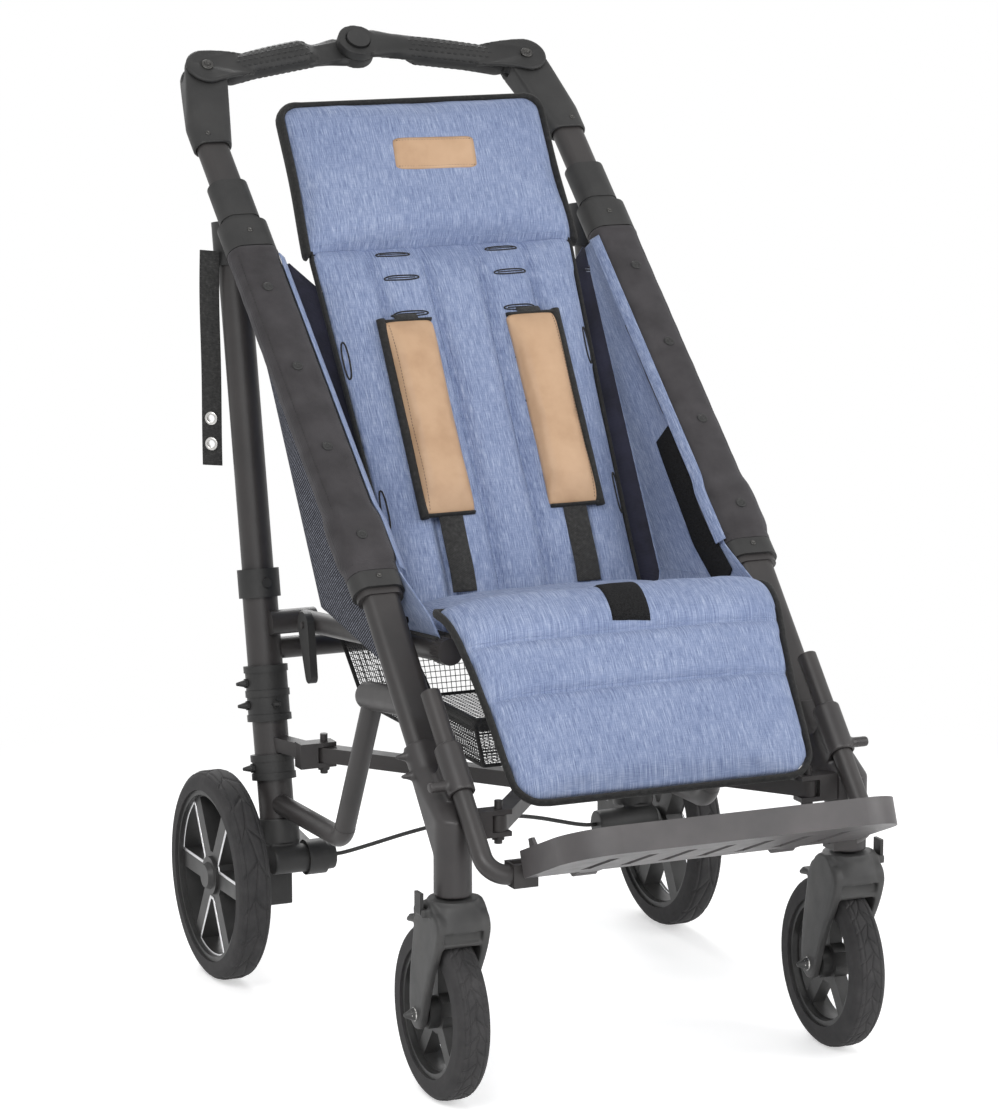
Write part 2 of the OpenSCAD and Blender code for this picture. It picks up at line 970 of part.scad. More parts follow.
// Solid tyre with rounded shoulders, seated on its rim
module tyre(d, tyre_t, w) {
    r_in = d / 2 - tyre_t + fit;
    shoulder = min(tyre_t, w / 2) * shoulder_share;
    rotate_extrude()
        difference() {
            union() {
                translate([r_in, -w / 2])
                    square([d / 2 - r_in - shoulder, w]);
                translate([r_in, -w / 2 + shoulder])
                    square([d / 2 - r_in, w - 2 * shoulder]);
                for (y = [-1, 1])
                    translate([d / 2 - shoulder, y * (w / 2 - shoulder)])
                        circle(r = shoulder);
            }
            translate([0, -w])
                square([r_in, 2 * w]);
        }
}

module at_rear_wheel(s) {
    side(s)
        translate([rear_wheel_out - rear_wheel_w / 2, rear_axle[0], rear_axle[1]])
            rotate([0, 90, 0])
                children();
}

module at_front_wheel(s) {
    side(s)
        translate([caster_x, front_axle[0], front_axle[1]])
            rotate([0, 90, 0])
                children();
}

module rear_rim(s) {
    color("#2a2a2a")
        at_rear_wheel(s)
            wheel_rim(rear_wheel_d, rear_tyre_t, rear_wheel_w, rear_hub_d, rear_hub_w, axle_d,
                6, rear_hub_d / 2 + rim_wall, rear_wheel_d / 2 - rear_tyre_t - rim_wall - rim_lip, rear_web,
                rear_spoke_w, cap_hub_h);
}

module rear_tyre(s) {
    color("#1d1d1d")
        at_rear_wheel(s)
            tyre(rear_wheel_d, rear_tyre_t, rear_wheel_w);
}

module front_rim(s) {
    color("#2a2a2a")
        at_front_wheel(s)
            wheel_rim(front_wheel_d, front_tyre_t, front_wheel_w, front_hub_d, front_hub_w, axle_d,
                5, front_hub_d / 2 + rim_wall, front_wheel_d / 2 - front_tyre_t - rim_wall - rim_lip,
                front_web, front_spoke_w);
}

module front_tyre(s) {
    color("#1d1d1d")
        at_front_wheel(s)
            tyre(front_wheel_d, front_tyre_t, front_wheel_w);
}

// Brake housing at the foot of the rear tube, with an inward barrel and the stub axle of the wheel
module brake_housing(s) {
    color("#1f1e1e")
        side(s)
            difference() {
                union() {
                    translate([tube_x - brake_w / 2, rear_axle[0] - brake_len / 2,
                        rear_axle[1] - brake_h / 2])
                        cube([brake_w, brake_len, brake_h]);
                    translate([tube_x - brake_w / 2 - barrel_len, barrel_at[0], barrel_at[1]])
                        rotate([0, 90, 0])
                            cylinder(d = barrel_d, h = barrel_len + brake_w);
                    translate([tube_x - brake_w / 2, barrel_at[0], barrel_at[1] - barrel_d / 2])
                        cube([brake_w, rear_axle[0] - barrel_at[0], barrel_d]);
                    on_rear()
                        translate([0, 0, -foot_sink])
                            cylinder(d = rear_low_d + 2 * collar_t, h = foot_sink + foot_grip);
                    translate([tube_x, rear_axle[0], rear_axle[1]])
                        rotate([0, 90, 0])
                            cylinder(d = axle_d, h = stub_end - tube_x);
                }
                on_rear()
                    cylinder(d = rear_low_d + 2 * fit, h = rear_len);
            }
}

// Foot pedal of the parking brake, on the barrel of the left housing
module brake_pedal() {
    color("#191919")
        side(-1)
            translate([tube_x - brake_w / 2 - barrel_len + pedal_w / 4, barrel_at[0], barrel_at[1]])
                difference() {
                    union() {
                        rotate([0, 90, 0])
                            cylinder(d = barrel_d + 2 * collar_t, h = pedal_w / 2);
                        translate([move_gap, 0, -pedal_t / 2])
                            rotate([pedal_tilt, 0, 0])
                                cube([pedal_w / 2 - 2 * move_gap, pedal_len, pedal_t]);
                    }
                    translate([-eps, 0, 0])
                        rotate([0, 90, 0])
                            cylinder(d = barrel_d + 2 * run, h = pedal_w);
                }
}

// U bracket of a brace link, open towards the middle, with its upright bolt
module brace_u() {
    difference() {
        translate([-brace_w / 2 - bracket_out, -brace_w / 2, -bracket_h / 2])
            cube([brace_w + bracket_out + bracket_web, brace_w, bracket_h]);
        translate([-brace_w - bracket_out, -brace_w, -brace_h / 2 - fork_gap])
            cube([brace_w + brace_w / 2 + bracket_out + bracket_in, 2 * brace_w, brace_h + 2 * fork_gap]);
    }
    cylinder(d = brace_pin_d, h = bracket_h + 2 * nut_h, center = true);
    translate([0, 0, -bracket_h / 2 - nut_h / 2])
        cylinder(d = nut_d, h = nut_h / 2, $fn = 6);
}

// Brackets on the caster housing and on the low rear collar
module brace_brackets(s) {
    arm_len = rear_at(brace_rear[2]) - brace_rear[1];
    color("#191919")
        side(s)
            difference() {
                union() {
                    translate(brace_front)
                        brace_u();
                    translate(brace_rear)
                        brace_u();
                    translate([brace_rear[0] + brace_w / 2 + bracket_web / 2, brace_rear[1], brace_rear[2]])
                        rotate([0, 0, -atan2(tube_x - brace_rear[0] - brace_w, arm_len)])
                            translate([-bracket_arm / 2, 0, -arm_drop])
                                cube([bracket_arm, arm_len, bracket_h / 2 + arm_drop - bracket_in]);
                }
                cast_neck(soft_gap + fit);
                on_rear()
                    cylinder(d = rear_low_d + 2 * fit, h = rear_step);
            }
}

// Brace link from a bracket to the middle; the left link ends in a slotted eye, the right one in a pin
module brace_link(s, from) {
    dx = from[0];
    dy = brace_apex_y - from[1];
    len = norm([dx, dy]);
    lap_low = s > 0 ? fork_gap / 2 : -brace_h / 2;
    color("#232222")
        side(s)
            translate(from)
                rotate([0, 0, atan2(dy, -dx)])
                    difference() {
                        union() {
                            translate([0, 0, -brace_h / 2])
                                cylinder(d = brace_w, h = brace_h);
                            translate([0, -brace_w / 2, -brace_h / 2])
                                cube([len - link_eye_d - lap_relief, brace_w, brace_h]);
                            translate([len - link_eye_d - lap_relief - eps, -brace_w / 2, lap_low])
                                cube([link_eye_d + lap_relief + eps, brace_w, brace_h / 2 - fork_gap / 2]);
                            translate([len, 0, lap_low])
                                cylinder(d = link_eye_d, h = brace_h / 2 - fork_gap / 2);
                            if (s > 0)
                                translate([len, 0, -brace_h / 2])
                                    cylinder(d = brace_pin_d, h = brace_h);
                        }
                        translate([0, 0, -brace_h])
                            cylinder(d = brace_pin_d + 2 * run, h = 2 * brace_h);
                        if (s < 0)
                            translate([len, 0, -brace_h])
                                cylinder(d = brace_pin_d + 2 * brace_slot, h = 2 * brace_h);
                    }
}

// Telescoping cross tube between the rear tubes
module cross_tube(s) {
    color("#2b2928")
        side(s)
            difference() {
                translate([-cross_reach, cross_at[0], cross_at[1]])
                    rotate([0, 90, 0])
                        cylinder(d = s < 0 ? cross_out_d : cross_in_d, h = tube_x + cross_reach);
                if (s < 0)
                    translate([-cross_reach - eps, cross_at[0], cross_at[1]])
                        rotate([0, 90, 0])
                            cylinder(d = cross_in_d + 2 * run, h = tube_x + cross_reach + 2 * eps);
                on_rear()
                    cylinder(d = rear_low_d + 2 * fit, h = rear_step + clamp_h);
            }
}

// Bent strut from the front tube to the foot of the rear tube, with its socket
module strut(s) {
    color("#2b2928")
        side(s)
            difference() {
                translate([tube_x, 0, 0])
                    bent_yz(strut_top, strut_low, strut_back + [rear_low_d / 2, 0], strut_r, strut_d);
                on_rear()
                    cylinder(d = rear_low_d + 2 * fit, h = rear_step);
            }
    color("#1f1e1e")
        side(s)
            difference() {
                translate([tube_x, 0, 0])
                    bar_yz(strut_seat, strut_top + [strut_d / 2 + collar_t, 0], strut_d + 2 * collar_t);
                translate([tube_x, 0, 0])
                    bar_yz(strut_top + (strut_top - strut_low) * seat_share, strut_low, strut_d + 2 * fit);
                translate([tube_x, 0, 0])
                    on_lower()
                        flat_bar(lower_w + 2 * fit, lower_d + 2 * fit, 0, lower_len + plug_len);
            }
}

// Rail under the side of the seat, with a ribbed cap on its front end
module seat_rail(s) {
    rail_cap(s);
    color("#232222")
        side(s)
            difference() {
                union() {
                    translate([rail_x, 0, 0])
                        bar_yz(rail_front, rail_back, rail_d);
                    translate([rail_x - rail_d / 2 - rim_step, rail_back[0], rail_back[1]])
                        rotate([0, 90, 0])
                            cylinder(d = rail_d + 2 * rim_step, h = tube_x - rail_x + rail_d / 2 + rim_step);
                    if (s < 0)
                        translate([rail_x, latch_at[0], latch_at[1]])
                            rotate([0, 90, 0])
                                cylinder(d = latch_pin_d, h = rail_d / 2 + latch_t + 3 * move_gap);
                }
                on_rear()
                    cylinder(d = rear_low_d + 2 * fit, h = rear_step + clamp_h);
            }
}

module rail_cap(s) {
    color("#2b2a2a")
        side(s)
            translate([rail_x, 0, 0])
                translate([0, rail_front[0], rail_front[1]])
                    rotate([-atan2(rail_back[0] - rail_front[0], rail_back[1] - rail_front[1]), 0, 0])
                        translate([0, 0, -cap_len])
                            difference() {
                                cylinder(d = cap_d, h = cap_len);
                                for (i = [0 : rib_count - 1])
                                    rotate(i * 360 / rib_count)
                                        translate([cap_d / 2 + rib_d / 4, 0, rib_d])
                                            cylinder(d = rib_d, h = cap_len);
                            }
}

// Fold latch lever on the outside of the left seat rail
module latch_lever() {
    color("#1a1a1a")
        side(-1)
            translate([rail_x + rail_d / 2 + move_gap, latch_at[0], latch_at[1]])
                rotate([90, 0, 90])
                    linear_extrude(latch_t)
                        difference() {
                            hull() {
                                circle(r = latch_r, $fn = 32);
                                translate([-latch_r, -latch_len])
                                    circle(r = latch_tip_r, $fn = 32);
                            }
                            circle(d = latch_pin_d + 2 * run);
                        }
}

// Swivel lock lever on the outer side of a caster crown
module swivel_lock(s) {
    color("#161616")
        side(s)
            translate([caster_x + lock_x, stem_y, lock_z])
                difference() {
                    union() {
                        translate([0, -lock_w / 2, 0])
                            run_y(lock_w)
                                circle(d = lock_d);
                        translate([lock_d / 2 - lock_t, -lock_w / 2, 0])
                            cube([lock_t, lock_w, lock_len]);
                    }
                    translate([0, -lock_w, 0])
                        run_y(2 * lock_w)
                            circle(d = lock_pin_d + 2 * run);
                }
}

// Ears and pin on the crown that carry the swivel lock lever
module lock_ears() {
    for (y = [-1, 1])
        translate([leg_x, y * (lock_w / 2 + lock_ear_t / 2 + run_side) - lock_ear_t / 2, lock_z - lock_d / 2])
            cube([lock_x - leg_x + lock_d / 2, lock_ear_t, lock_d]);
    translate([lock_x, -lock_w / 2 - lock_ear_t, lock_z])
        run_y(lock_w + 2 * lock_ear_t)
            circle(d = lock_pin_d);
}

// Pointed acorn nut, standing along +Z
module acorn() {
    cylinder(d = acorn_d, h = acorn_h / 3, $fn = 6);
    translate([0, 0, acorn_h / 3])
        cylinder(d1 = acorn_d * nut_dome_share, d2 = acorn_d * acorn_tip_share, h = acorn_h);
}

// Bolts with acorn nuts on the rear collars
module rear_bolts() {
    reach = rear_low_d / 2 + collar_t;
    on_rear() {
        for (share = collar_bolt_shares)
            translate([0, 0, double_z + double_h * share])
                rotate([0, 90, 0])
                    translate([0, 0, reach + fit])
                        acorn();
        translate([0, 0, double_z + double_h * bolt_share])
            rotate([90, 0, 0])
                translate([0, 0, reach + fit])
                    acorn();
        translate([0, 0, low_z + low_collar_h / 2])
            rotate([0, 90, 0])
                translate([0, 0, reach + fit])
                    acorn();
        translate([0, 0, rear_step])
            rotate([90, 0, 0])
                translate([0, 0, reach + fit])
                    cylinder(d = acorn_d, h = acorn_h / 3);
    }
}

// Bolts with acorn nuts on the outer side of the caster housing
module front_bolts() {
    translate([tube_x + lower_w / 2 + cast_t + fit, 0, 0])
        on_lower()
            for (share = cast_bolt_shares)
                translate([0, cast_grip * share, 0])
                    rotate([0, 90, 0])
                        acorn();
}

// Points of a straight run between two [y, z] points
function straight(p, q, n) = [for (i = [0 : n]) p + (q - p) * i / n];

// Points of a run that rolls over a corner and then hangs straight
function rolled(p, corner, q, roll, n_roll, n) = concat(
    [for (i = [0 : n_roll - 1])
        let(t = i / n_roll, m = corner + (q - corner) * roll)
        (1 - t) * (1 - t) * p + 2 * t * (1 - t) * corner + t * t * m],
    straight(corner + (q - corner) * roll, q, n));

// Share of the crown left at a place across a run of sewn seams
function seam_share(s, seams, width) = min([for (c = concat(seams, [no_seam_share])) 1 - seam_depth_share
    * exp(-pow((s - c) / width, 2))]);
function crown_share(s) = 1 - pow(abs(2 * s - 1), 6);

// A padded panel that follows a run of [y, z] points: crowned, drawn in at the sides, with sewn
// channels along it (at shares of the width) and across it (at shares of the length)
module cushion(run_points, half_from, half_to, edge, crown, pull, along_shares, across_shares, n = 24) {
    m = len(run_points) - 1;
    tangent = [for (j = [0 : m])
        let(d = run_points[min(j + 1, m)] - run_points[max(j - 1, 0)])
        d / norm(d)];
    up = cushion_up(run_points);
    half = [for (j = [0 : m]) half_from + (half_to - half_from) * j / m - pull * (1 - pow(2 * j / m - 1, 2))];
    rise = [for (i = [0 : n]) [for (j = [0 : m])
        edge + (crown - edge) * crown_share(i / n) * crown_share(j / m)
            * seam_share(i / n, along_shares, seam_w_share)
            * seam_share(j / m, across_shares, seam_w_share)]];
    top = [for (i = [0 : n]) for (j = [0 : m])
        let(c = run_points[j] + rise[i][j] * up * [-tangent[j][1], tangent[j][0]])
        [(2 * i / n - 1) * half[j], c[0], c[1]]];
    base = [for (i = [0 : n]) for (j = [0 : m])
        [(2 * i / n - 1) * half[j], run_points[j][0], run_points[j][1]]];
    faces = sheet_faces(n, m);
    polyhedron(points = concat(top, base),
        faces = up > 0 ? faces : [for (f = faces) [f[2], f[1], f[0]]]);
}

// Runs that go rearward have their padded face on the other side from runs that go forward
function cushion_up(p) = p[len(p) - 1][0] > p[0][0] ? 1 : -1;
function grid_pair(i, j, m, first, flip) =
    let(a = first + i * (m + 1) + j, b = a + m + 1, c = b + 1, d = a + 1)
    flip ? [[a, b, c], [a, c, d]] : [[a, d, c], [a, c, b]];
function sheet_faces(n, m) =
    let(count = (n + 1) * (m + 1))
    concat(
        [for (i = [0 : n - 1]) for (j = [0 : m - 1]) each grid_pair(i, j, m, 0, false)],
        [for (i = [0 : n - 1]) for (j = [0 : m - 1]) each grid_pair(i, j, m, count, true)],
        [for (i = [0 : n - 1]) each wall_pair(i * (m + 1), (i + 1) * (m + 1), count)],
        [for (i = [0 : n - 1]) each wall_pair((i + 1) * (m + 1) + m, i * (m + 1) + m, count)],
        [for (j = [0 : m - 1]) each wall_pair(j + 1, j, count)],
        [for (j = [0 : m - 1]) each wall_pair(n * (m + 1) + j, n * (m + 1) + j + 1, count)]);
function wall_pair(a, b, count) = [[a, b, b + count], [a, b + count, a + count]];

// The line of the back, and a place on it
function back_at(along, off) = crease
    + along * [cos(back_lean), sin(back_lean)]
    + off * [-sin(back_lean), cos(back_lean)];

module back_pad() {
    color("#6f8fc4")
        side(1)
            cushion(straight(back_at(0, 0), back_at(back_len, 0), 20), back_half - back_taper, back_half,
                pad_edge, back_t, pad_pull, back_seam_shares, [], 28);
}

module headrest() {
    color("#6f8fc4")
        side(1)
            cushion(straight(back_at(back_len + pad_gap, 0), back_at(back_len + pad_gap + head_len, 0), 14),
                head_half, head_half - head_taper, pad_edge, head_t, pad_pull, [], [], 20);
}

module seat_pad() {
    color("#6f8fc4")
        side(1)
            cushion(straight(seat_back, seat_front, 14), seat_half, seat_half, pad_edge, seat_t, pad_pull,
                [], [], 20);
}

module calf_flap() {
    color("#6f8fc4")
        side(1)
            cushion(rolled(flap_top, flap_corner, flap_low, flap_roll_share, 8, 16), flap_top_half,
                flap_low_half, pad_edge, flap_t, pad_pull, [], flap_seam_shares, 20);
}

module shoulder_pad(s) {
    color("#c49a6c")
        side(s)
            translate([strap_x, 0, 0])
                cushion(straight(back_at(pad_from, strap_z), back_at(pad_to, strap_z), 12),
                    pad_half, pad_half, strap_t, shoulder_t, 0, [], [], 8);
}

// Webbing below the shoulder pads
module harness_straps() {
    color("#191919")
        side(1)
            for (x = [-1, 1])
                translate([x * strap_x - strap_half, 0, 0])
                    translate(concat([0], back_at(strap_from, strap_z)))
                        rotate([back_lean, 0, 0])
                            cube([2 * strap_half, pad_from - strap_from - soft_gap, strap_t]);
}

// Strap with two eyelets that hangs beside the left rear tube
module adjuster_strap() {
    color("#191919")
        side(-1)
            translate([tube_x + rear_d / 2 + socket_t + soft_gap, hang_y - strap_half, hang_low])
                difference() {
                    cube([strap_t, 2 * strap_half, hang_top - hang_low]);
                    for (i = [0, 1])
                        translate([-eps, strap_half, eyelet_z + i * eyelet_step])
                            rotate([0, 90, 0])
                                cylinder(d = eyelet_d, h = strap_t + 2 * eps);
                }
}

// A thin sheet spanned between four corners, with its thickness along X
module sheet(a, b, c, d, t, n, m) {
    outer = [for (i = [0 : n]) for (j = [0 : m])
        let(u = i / n, v = j / m)
        (1 - u) * (1 - v) * a + u * (1 - v) * b + u * v * c + (1 - u) * v * d];
    inner = [for (p = outer) p - [t, 0, 0]];
    faces = sheet_faces(n, m);
    polyhedron(points = concat(outer, inner), faces = faces);
}

// Side panel between front tube, back and seat, with the sleeve that holds it on the tube
module side_panel(s) {
    top = concat([panel_top_x], back_at(panel_top_along, panel_off));
    tube_low = [panel_tube_x, panel_tube[0], panel_tube[1]];
    front = [panel_tube_x, panel_front[0], panel_front[1]];
    low = concat([panel_low_x], back_at(panel_low_along, panel_off));
    color("#5877ad")
        side(s) {
            sheet(top, tube_low, front, low, cloth_t, 8, 6);
            translate([tube_x, 0, 0])
                on_rake()
                    difference() {
                        flat_bar(mid_w + 2 * sleeve_t, mid_d + 2 * sleeve_t, low_collar_h + move_gap,
                            mid_top - collar_h - move_gap);
                        flat_bar(mid_w + 2 * soft_gap, mid_d + 2 * soft_gap, 0, mid_top);
                    }
        }
}

// Mesh basket under the seat, open at the top and cut low at the front
module basket() {
    color("#1c1c1c")
        side(1)
            difference() {
                basket_form(0);
                basket_form(cloth_t);
                translate([-basket_top_half, basket_front - eps, basket_mouth])
                    cube([2 * basket_top_half, (basket_back - basket_front) * mouth_share, basket_top]);
            }
}

module basket_form(inset) {
    depth = basket_back - basket_front - 2 * inset;
    hull() {
        translate([-basket_half + inset, basket_front + basket_slant + inset, basket_low + inset])
            cube([2 * (basket_half - inset), depth - 2 * basket_slant, cloth_t]);
        translate([-basket_top_half + inset, basket_front + inset, basket_top - cloth_t + inset])
            cube([2 * (basket_top_half - inset), depth, cloth_t]);
    }
}

// Brake cable between the two housings, an eight-sided tube along its route
module brake_cable() {
    n = len(cable_route) - 1;
    sides = 8;
    points = [for (i = [0 : n])
        let(d = cable_route[min(i + 1, n)] - cable_route[max(i - 1, 0)])
        let(t = i == 0 || i == n ? [1, 0, 0] : d / norm(d))
        let(u = cross([0, 0, 1], t) / norm(cross([0, 0, 1], t)), v = cross(t, u))
        for (k = [0 : sides - 1])
            cable_route[i] + cable_d / 2 * (cos(k * 360 / sides) * u + sin(k * 360 / sides) * v)];
    rings = [for (i = [0 : n - 1]) for (k = [0 : sides - 1])
        let(a = i * sides + k, b = i * sides + (k + 1) % sides)
        each [[a, a + sides, b], [b, a + sides, b + sides]]];
    caps = [for (k = [1 : sides - 2]) each [[0, k, k + 1], [n * sides, n * sides + k + 1, n * sides + k]]];
    color("#0f0f0f")
        side(1)
            polyhedron(points = points, faces = concat(rings, caps));
}

front_tube(-1);  // front_tube_left
front_tube(1);  // front_tube_right
front_collars(-1);  // front_collars_left
front_collars(1);  // front_collars_right
rear_tube(-1);  // rear_tube_left
rear_tube(1);  // rear_tube_right
rear_collars(-1);  // rear_collars_left
rear_collars(1);  // rear_collars_right
elbow(-1);  // elbow_left
elbow(1);  // elbow_right
handle_half(-1);  // handle_half_left
handle_half(1);  // handle_half_right
caster_housing(-1);  // caster_housing_left
caster_housing(1);  // caster_housing_right
hanger(-1);  // hanger_left
hanger(1);  // hanger_right
caster_fork(-1);  // caster_fork_left
caster_fork(1);  // caster_fork_right
rear_rim(-1);  // rear_rim_left
rear_rim(1);  // rear_rim_right
rear_tyre(-1);  // rear_tyre_left
rear_tyre(1);  // rear_tyre_right
front_rim(-1);  // front_rim_left
front_rim(1);  // front_rim_right
front_tyre(-1);  // front_tyre_left
front_tyre(1);  // front_tyre_right
brake_housing(-1);  // brake_housing_left
brake_housing(1);  // brake_housing_right
brace_brackets(-1);  // brace_brackets_left
brace_brackets(1);  // brace_brackets_right
cross_tube(-1);  // cross_tube_left
cross_tube(1);  // cross_tube_right
strut(-1);  // strut_left
strut(1);  // strut_right
seat_rail(-1);  // seat_rail_left
seat_rail(1);  // seat_rail_right
swivel_lock(-1);  // swivel_lock_left
swivel_lock(1);  // swivel_lock_right
side_panel(-1);  // side_panel_left
side_panel(1);  // side_panel_right
shoulder_pad(-1);  // shoulder_pad_left
shoulder_pad(1);  // shoulder_pad_right
brace_link(-1, brace_front);  // front_brace_left
brace_link(1, brace_front);  // front_brace_right
brace_link(-1, brace_rear);  // rear_brace_left
brace_link(1, brace_rear);  // rear_brace_right
handle_button();
foot_rod();
footplate();
brake_pedal();
latch_lever();
back_pad();
headrest();
seat_pad();
calf_flap();
harness_straps();
adjuster_strap();
basket();
brake_cable();
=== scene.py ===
"""Folding special needs buggy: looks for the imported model. Metres, X across, Y front to rear, Z up."""
import json
import math

import bmesh
import bpy
import numpy as np
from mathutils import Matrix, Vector
from mathutils.bvhtree import BVHTree


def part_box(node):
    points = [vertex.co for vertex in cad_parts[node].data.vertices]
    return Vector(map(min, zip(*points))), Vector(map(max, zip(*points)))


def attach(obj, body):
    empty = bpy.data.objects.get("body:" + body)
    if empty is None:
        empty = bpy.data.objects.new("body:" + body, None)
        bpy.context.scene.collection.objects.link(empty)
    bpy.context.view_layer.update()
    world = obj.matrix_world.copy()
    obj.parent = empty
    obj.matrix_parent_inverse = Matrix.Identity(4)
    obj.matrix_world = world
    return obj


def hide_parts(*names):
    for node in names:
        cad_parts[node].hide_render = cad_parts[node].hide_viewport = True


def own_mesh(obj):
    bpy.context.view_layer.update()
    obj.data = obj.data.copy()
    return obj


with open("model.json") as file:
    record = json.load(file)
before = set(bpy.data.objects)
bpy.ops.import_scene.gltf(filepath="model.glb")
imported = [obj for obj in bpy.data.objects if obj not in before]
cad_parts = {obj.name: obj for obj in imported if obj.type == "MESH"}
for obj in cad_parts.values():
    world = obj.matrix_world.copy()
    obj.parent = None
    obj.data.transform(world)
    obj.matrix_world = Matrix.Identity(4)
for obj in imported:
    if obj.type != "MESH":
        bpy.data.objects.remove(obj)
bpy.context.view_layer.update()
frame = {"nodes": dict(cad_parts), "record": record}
nodes = frame["nodes"]
scene = bpy.context.scene

# Where the middle of the length lies in the drawing's own coordinates
MID = -0.1421
# The fold brings the seat rails 200 mm nearer, and the cloth between them closes up towards the left one
RAIL_OUT, FOLD_TRAVEL = 0.173, 0.2
FOLD_KEEP = (2 * RAIL_OUT - FOLD_TRAVEL) / (2 * RAIL_OUT)
LEFT_RAIL = (-RAIL_OUT, 0, 0.5)
SIDE = {-1: "left", 1: "right"}
WHITE = (1, 1, 1, 1)


def at(x, y, z):
    """A point of the drawing in the shared frame."""
    return Vector((x, y - MID, z))


def added(name, data):
    obj = bpy.data.objects.new(name, data)
    scene.collection.objects.link(obj)
    return obj


# ---- nodes of materials and of Geometry Nodes ----
def fill(tree, made, sockets):
    """Gives each named socket of a node a value, or a link where it is another node's output."""
    for key, value in sockets.items():
        if isinstance(value, bpy.types.NodeSocket):
            tree.links.new(value, made.inputs[key])
        else:
            made.inputs[key].default_value = value
    return made


def wired(tree, kind, sockets, **settings):
    made = tree.nodes.new(kind)
    for key, value in settings.items():
        setattr(made, key, value)
    return fill(tree, made, sockets)


# ---- camera, light and floor ----
def aimed(obj, place, aim):
    obj.location = place
    obj.rotation_mode = "QUATERNION"
    obj.rotation_quaternion = (Vector(aim) - Vector(place)).to_track_quat("-Z", "Y")
    return obj


def set_camera():
    data = bpy.data.cameras.new("photo_camera")
    data.sensor_width = 36
    data.lens = 4565.05 * 36 / 1114
    data.clip_end = 60
    scene.camera = aimed(added("photo_camera", data), at(-2.1494, -4.8511, 1.5470), at(-0.0001, -0.05, 0.5149))


def area_lamp(name, place, aim, size, watts):
    data = bpy.data.lights.new(name, "AREA")
    data.shape, data.size, data.energy = "DISK", size, watts
    aimed(added(name, data), place, aim)


def seeing_rays(tree):
    """1 for rays from the camera, off a gloss or through a clear surface, which see the plain white."""
    path = tree.nodes.new("ShaderNodeLightPath").outputs
    total = path["Is Camera Ray"]
    for kind in ("Is Glossy Ray", "Is Transmission Ray"):
        both = wired(tree, "ShaderNodeMath", {0: total, 1: path[kind]}, operation="ADD", use_clamp=True)
        total = both.outputs[0]
    return total


def set_light():
    scene.view_settings.view_transform = "Standard"
    world = scene.world = bpy.data.worlds.new("studio")
    world.use_nodes = True
    tree = world.node_tree
    soft = fill(tree, tree.nodes["Background"], {"Color": WHITE, "Strength": 0.42})
    white = wired(tree, "ShaderNodeBackground", {"Color": WHITE, "Strength": 1.0})
    mix = wired(tree, "ShaderNodeMixShader", {"Fac": seeing_rays(tree), 1: soft.outputs[0], 2: white.outputs[0]})
    fill(tree, tree.nodes["World Output"], {"Surface": mix.outputs[0]})
    area_lamp("key", (-2.2, -2.6, 3.2), (0, 0, 0.5), 2.2, 80)
    area_lamp("front", (-0.4, -2.9, 1.0), (0, -0.25, 0.4), 2.0, 20)
    area_lamp("fill", (2.6, -2.2, 1.8), (0, 0, 0.5), 2.4, 48)
    area_lamp("rim", (0.6, 3.0, 2.6), (0, 0, 0.6), 2.0, 60)


def set_floor():
    """A pale floor that keeps the shadow near the wheels and runs out to plain white."""
    size, z = 4, -0.0016
    mesh = bpy.data.meshes.new("floor")
    mesh.from_pydata([(-size, -size, z), (size, -size, z), (size, size, z), (-size, size, z)], [], [(0, 1, 2, 3)])
    pale = bpy.data.materials.new("pale_floor")
    pale.use_nodes = True
    tree = pale.node_tree
    matt = fill(tree, tree.nodes["Principled BSDF"], {
        "Base Color": (0.9, 0.9, 0.9, 1), "Roughness": 0.9, "Specular IOR Level": 0.0})
    glow, white = (wired(tree, "ShaderNodeEmission", {"Color": WHITE, "Strength": g}) for g in (0.50, 1.0))
    lit = wired(tree, "ShaderNodeAddShader", {0: matt.outputs[0], 1: glow.outputs[0]})
    place = tree.nodes.new("ShaderNodeTexCoord").outputs["Object"]
    far = wired(tree, "ShaderNodeVectorMath", {0: place}, operation="LENGTH")
    reach = wired(tree, "ShaderNodeMapRange", {"Value": far.outputs["Value"], "From Min": 0.75, "From Max": 1.5},
                  interpolation_type="SMOOTHSTEP")
    near = wired(tree, "ShaderNodeMixShader", {"Fac": reach.outputs["Result"], 1: lit.outputs[0], 2: white.outputs[0]})
    seen = wired(tree, "ShaderNodeMixShader", {"Fac": seeing_rays(tree), 1: matt.outputs[0], 2: near.outputs[0]})
    fill(tree, tree.nodes["Material Output"], {"Surface": seen.outputs[0]})
    mesh.materials.append(pale)
    added("floor", mesh)


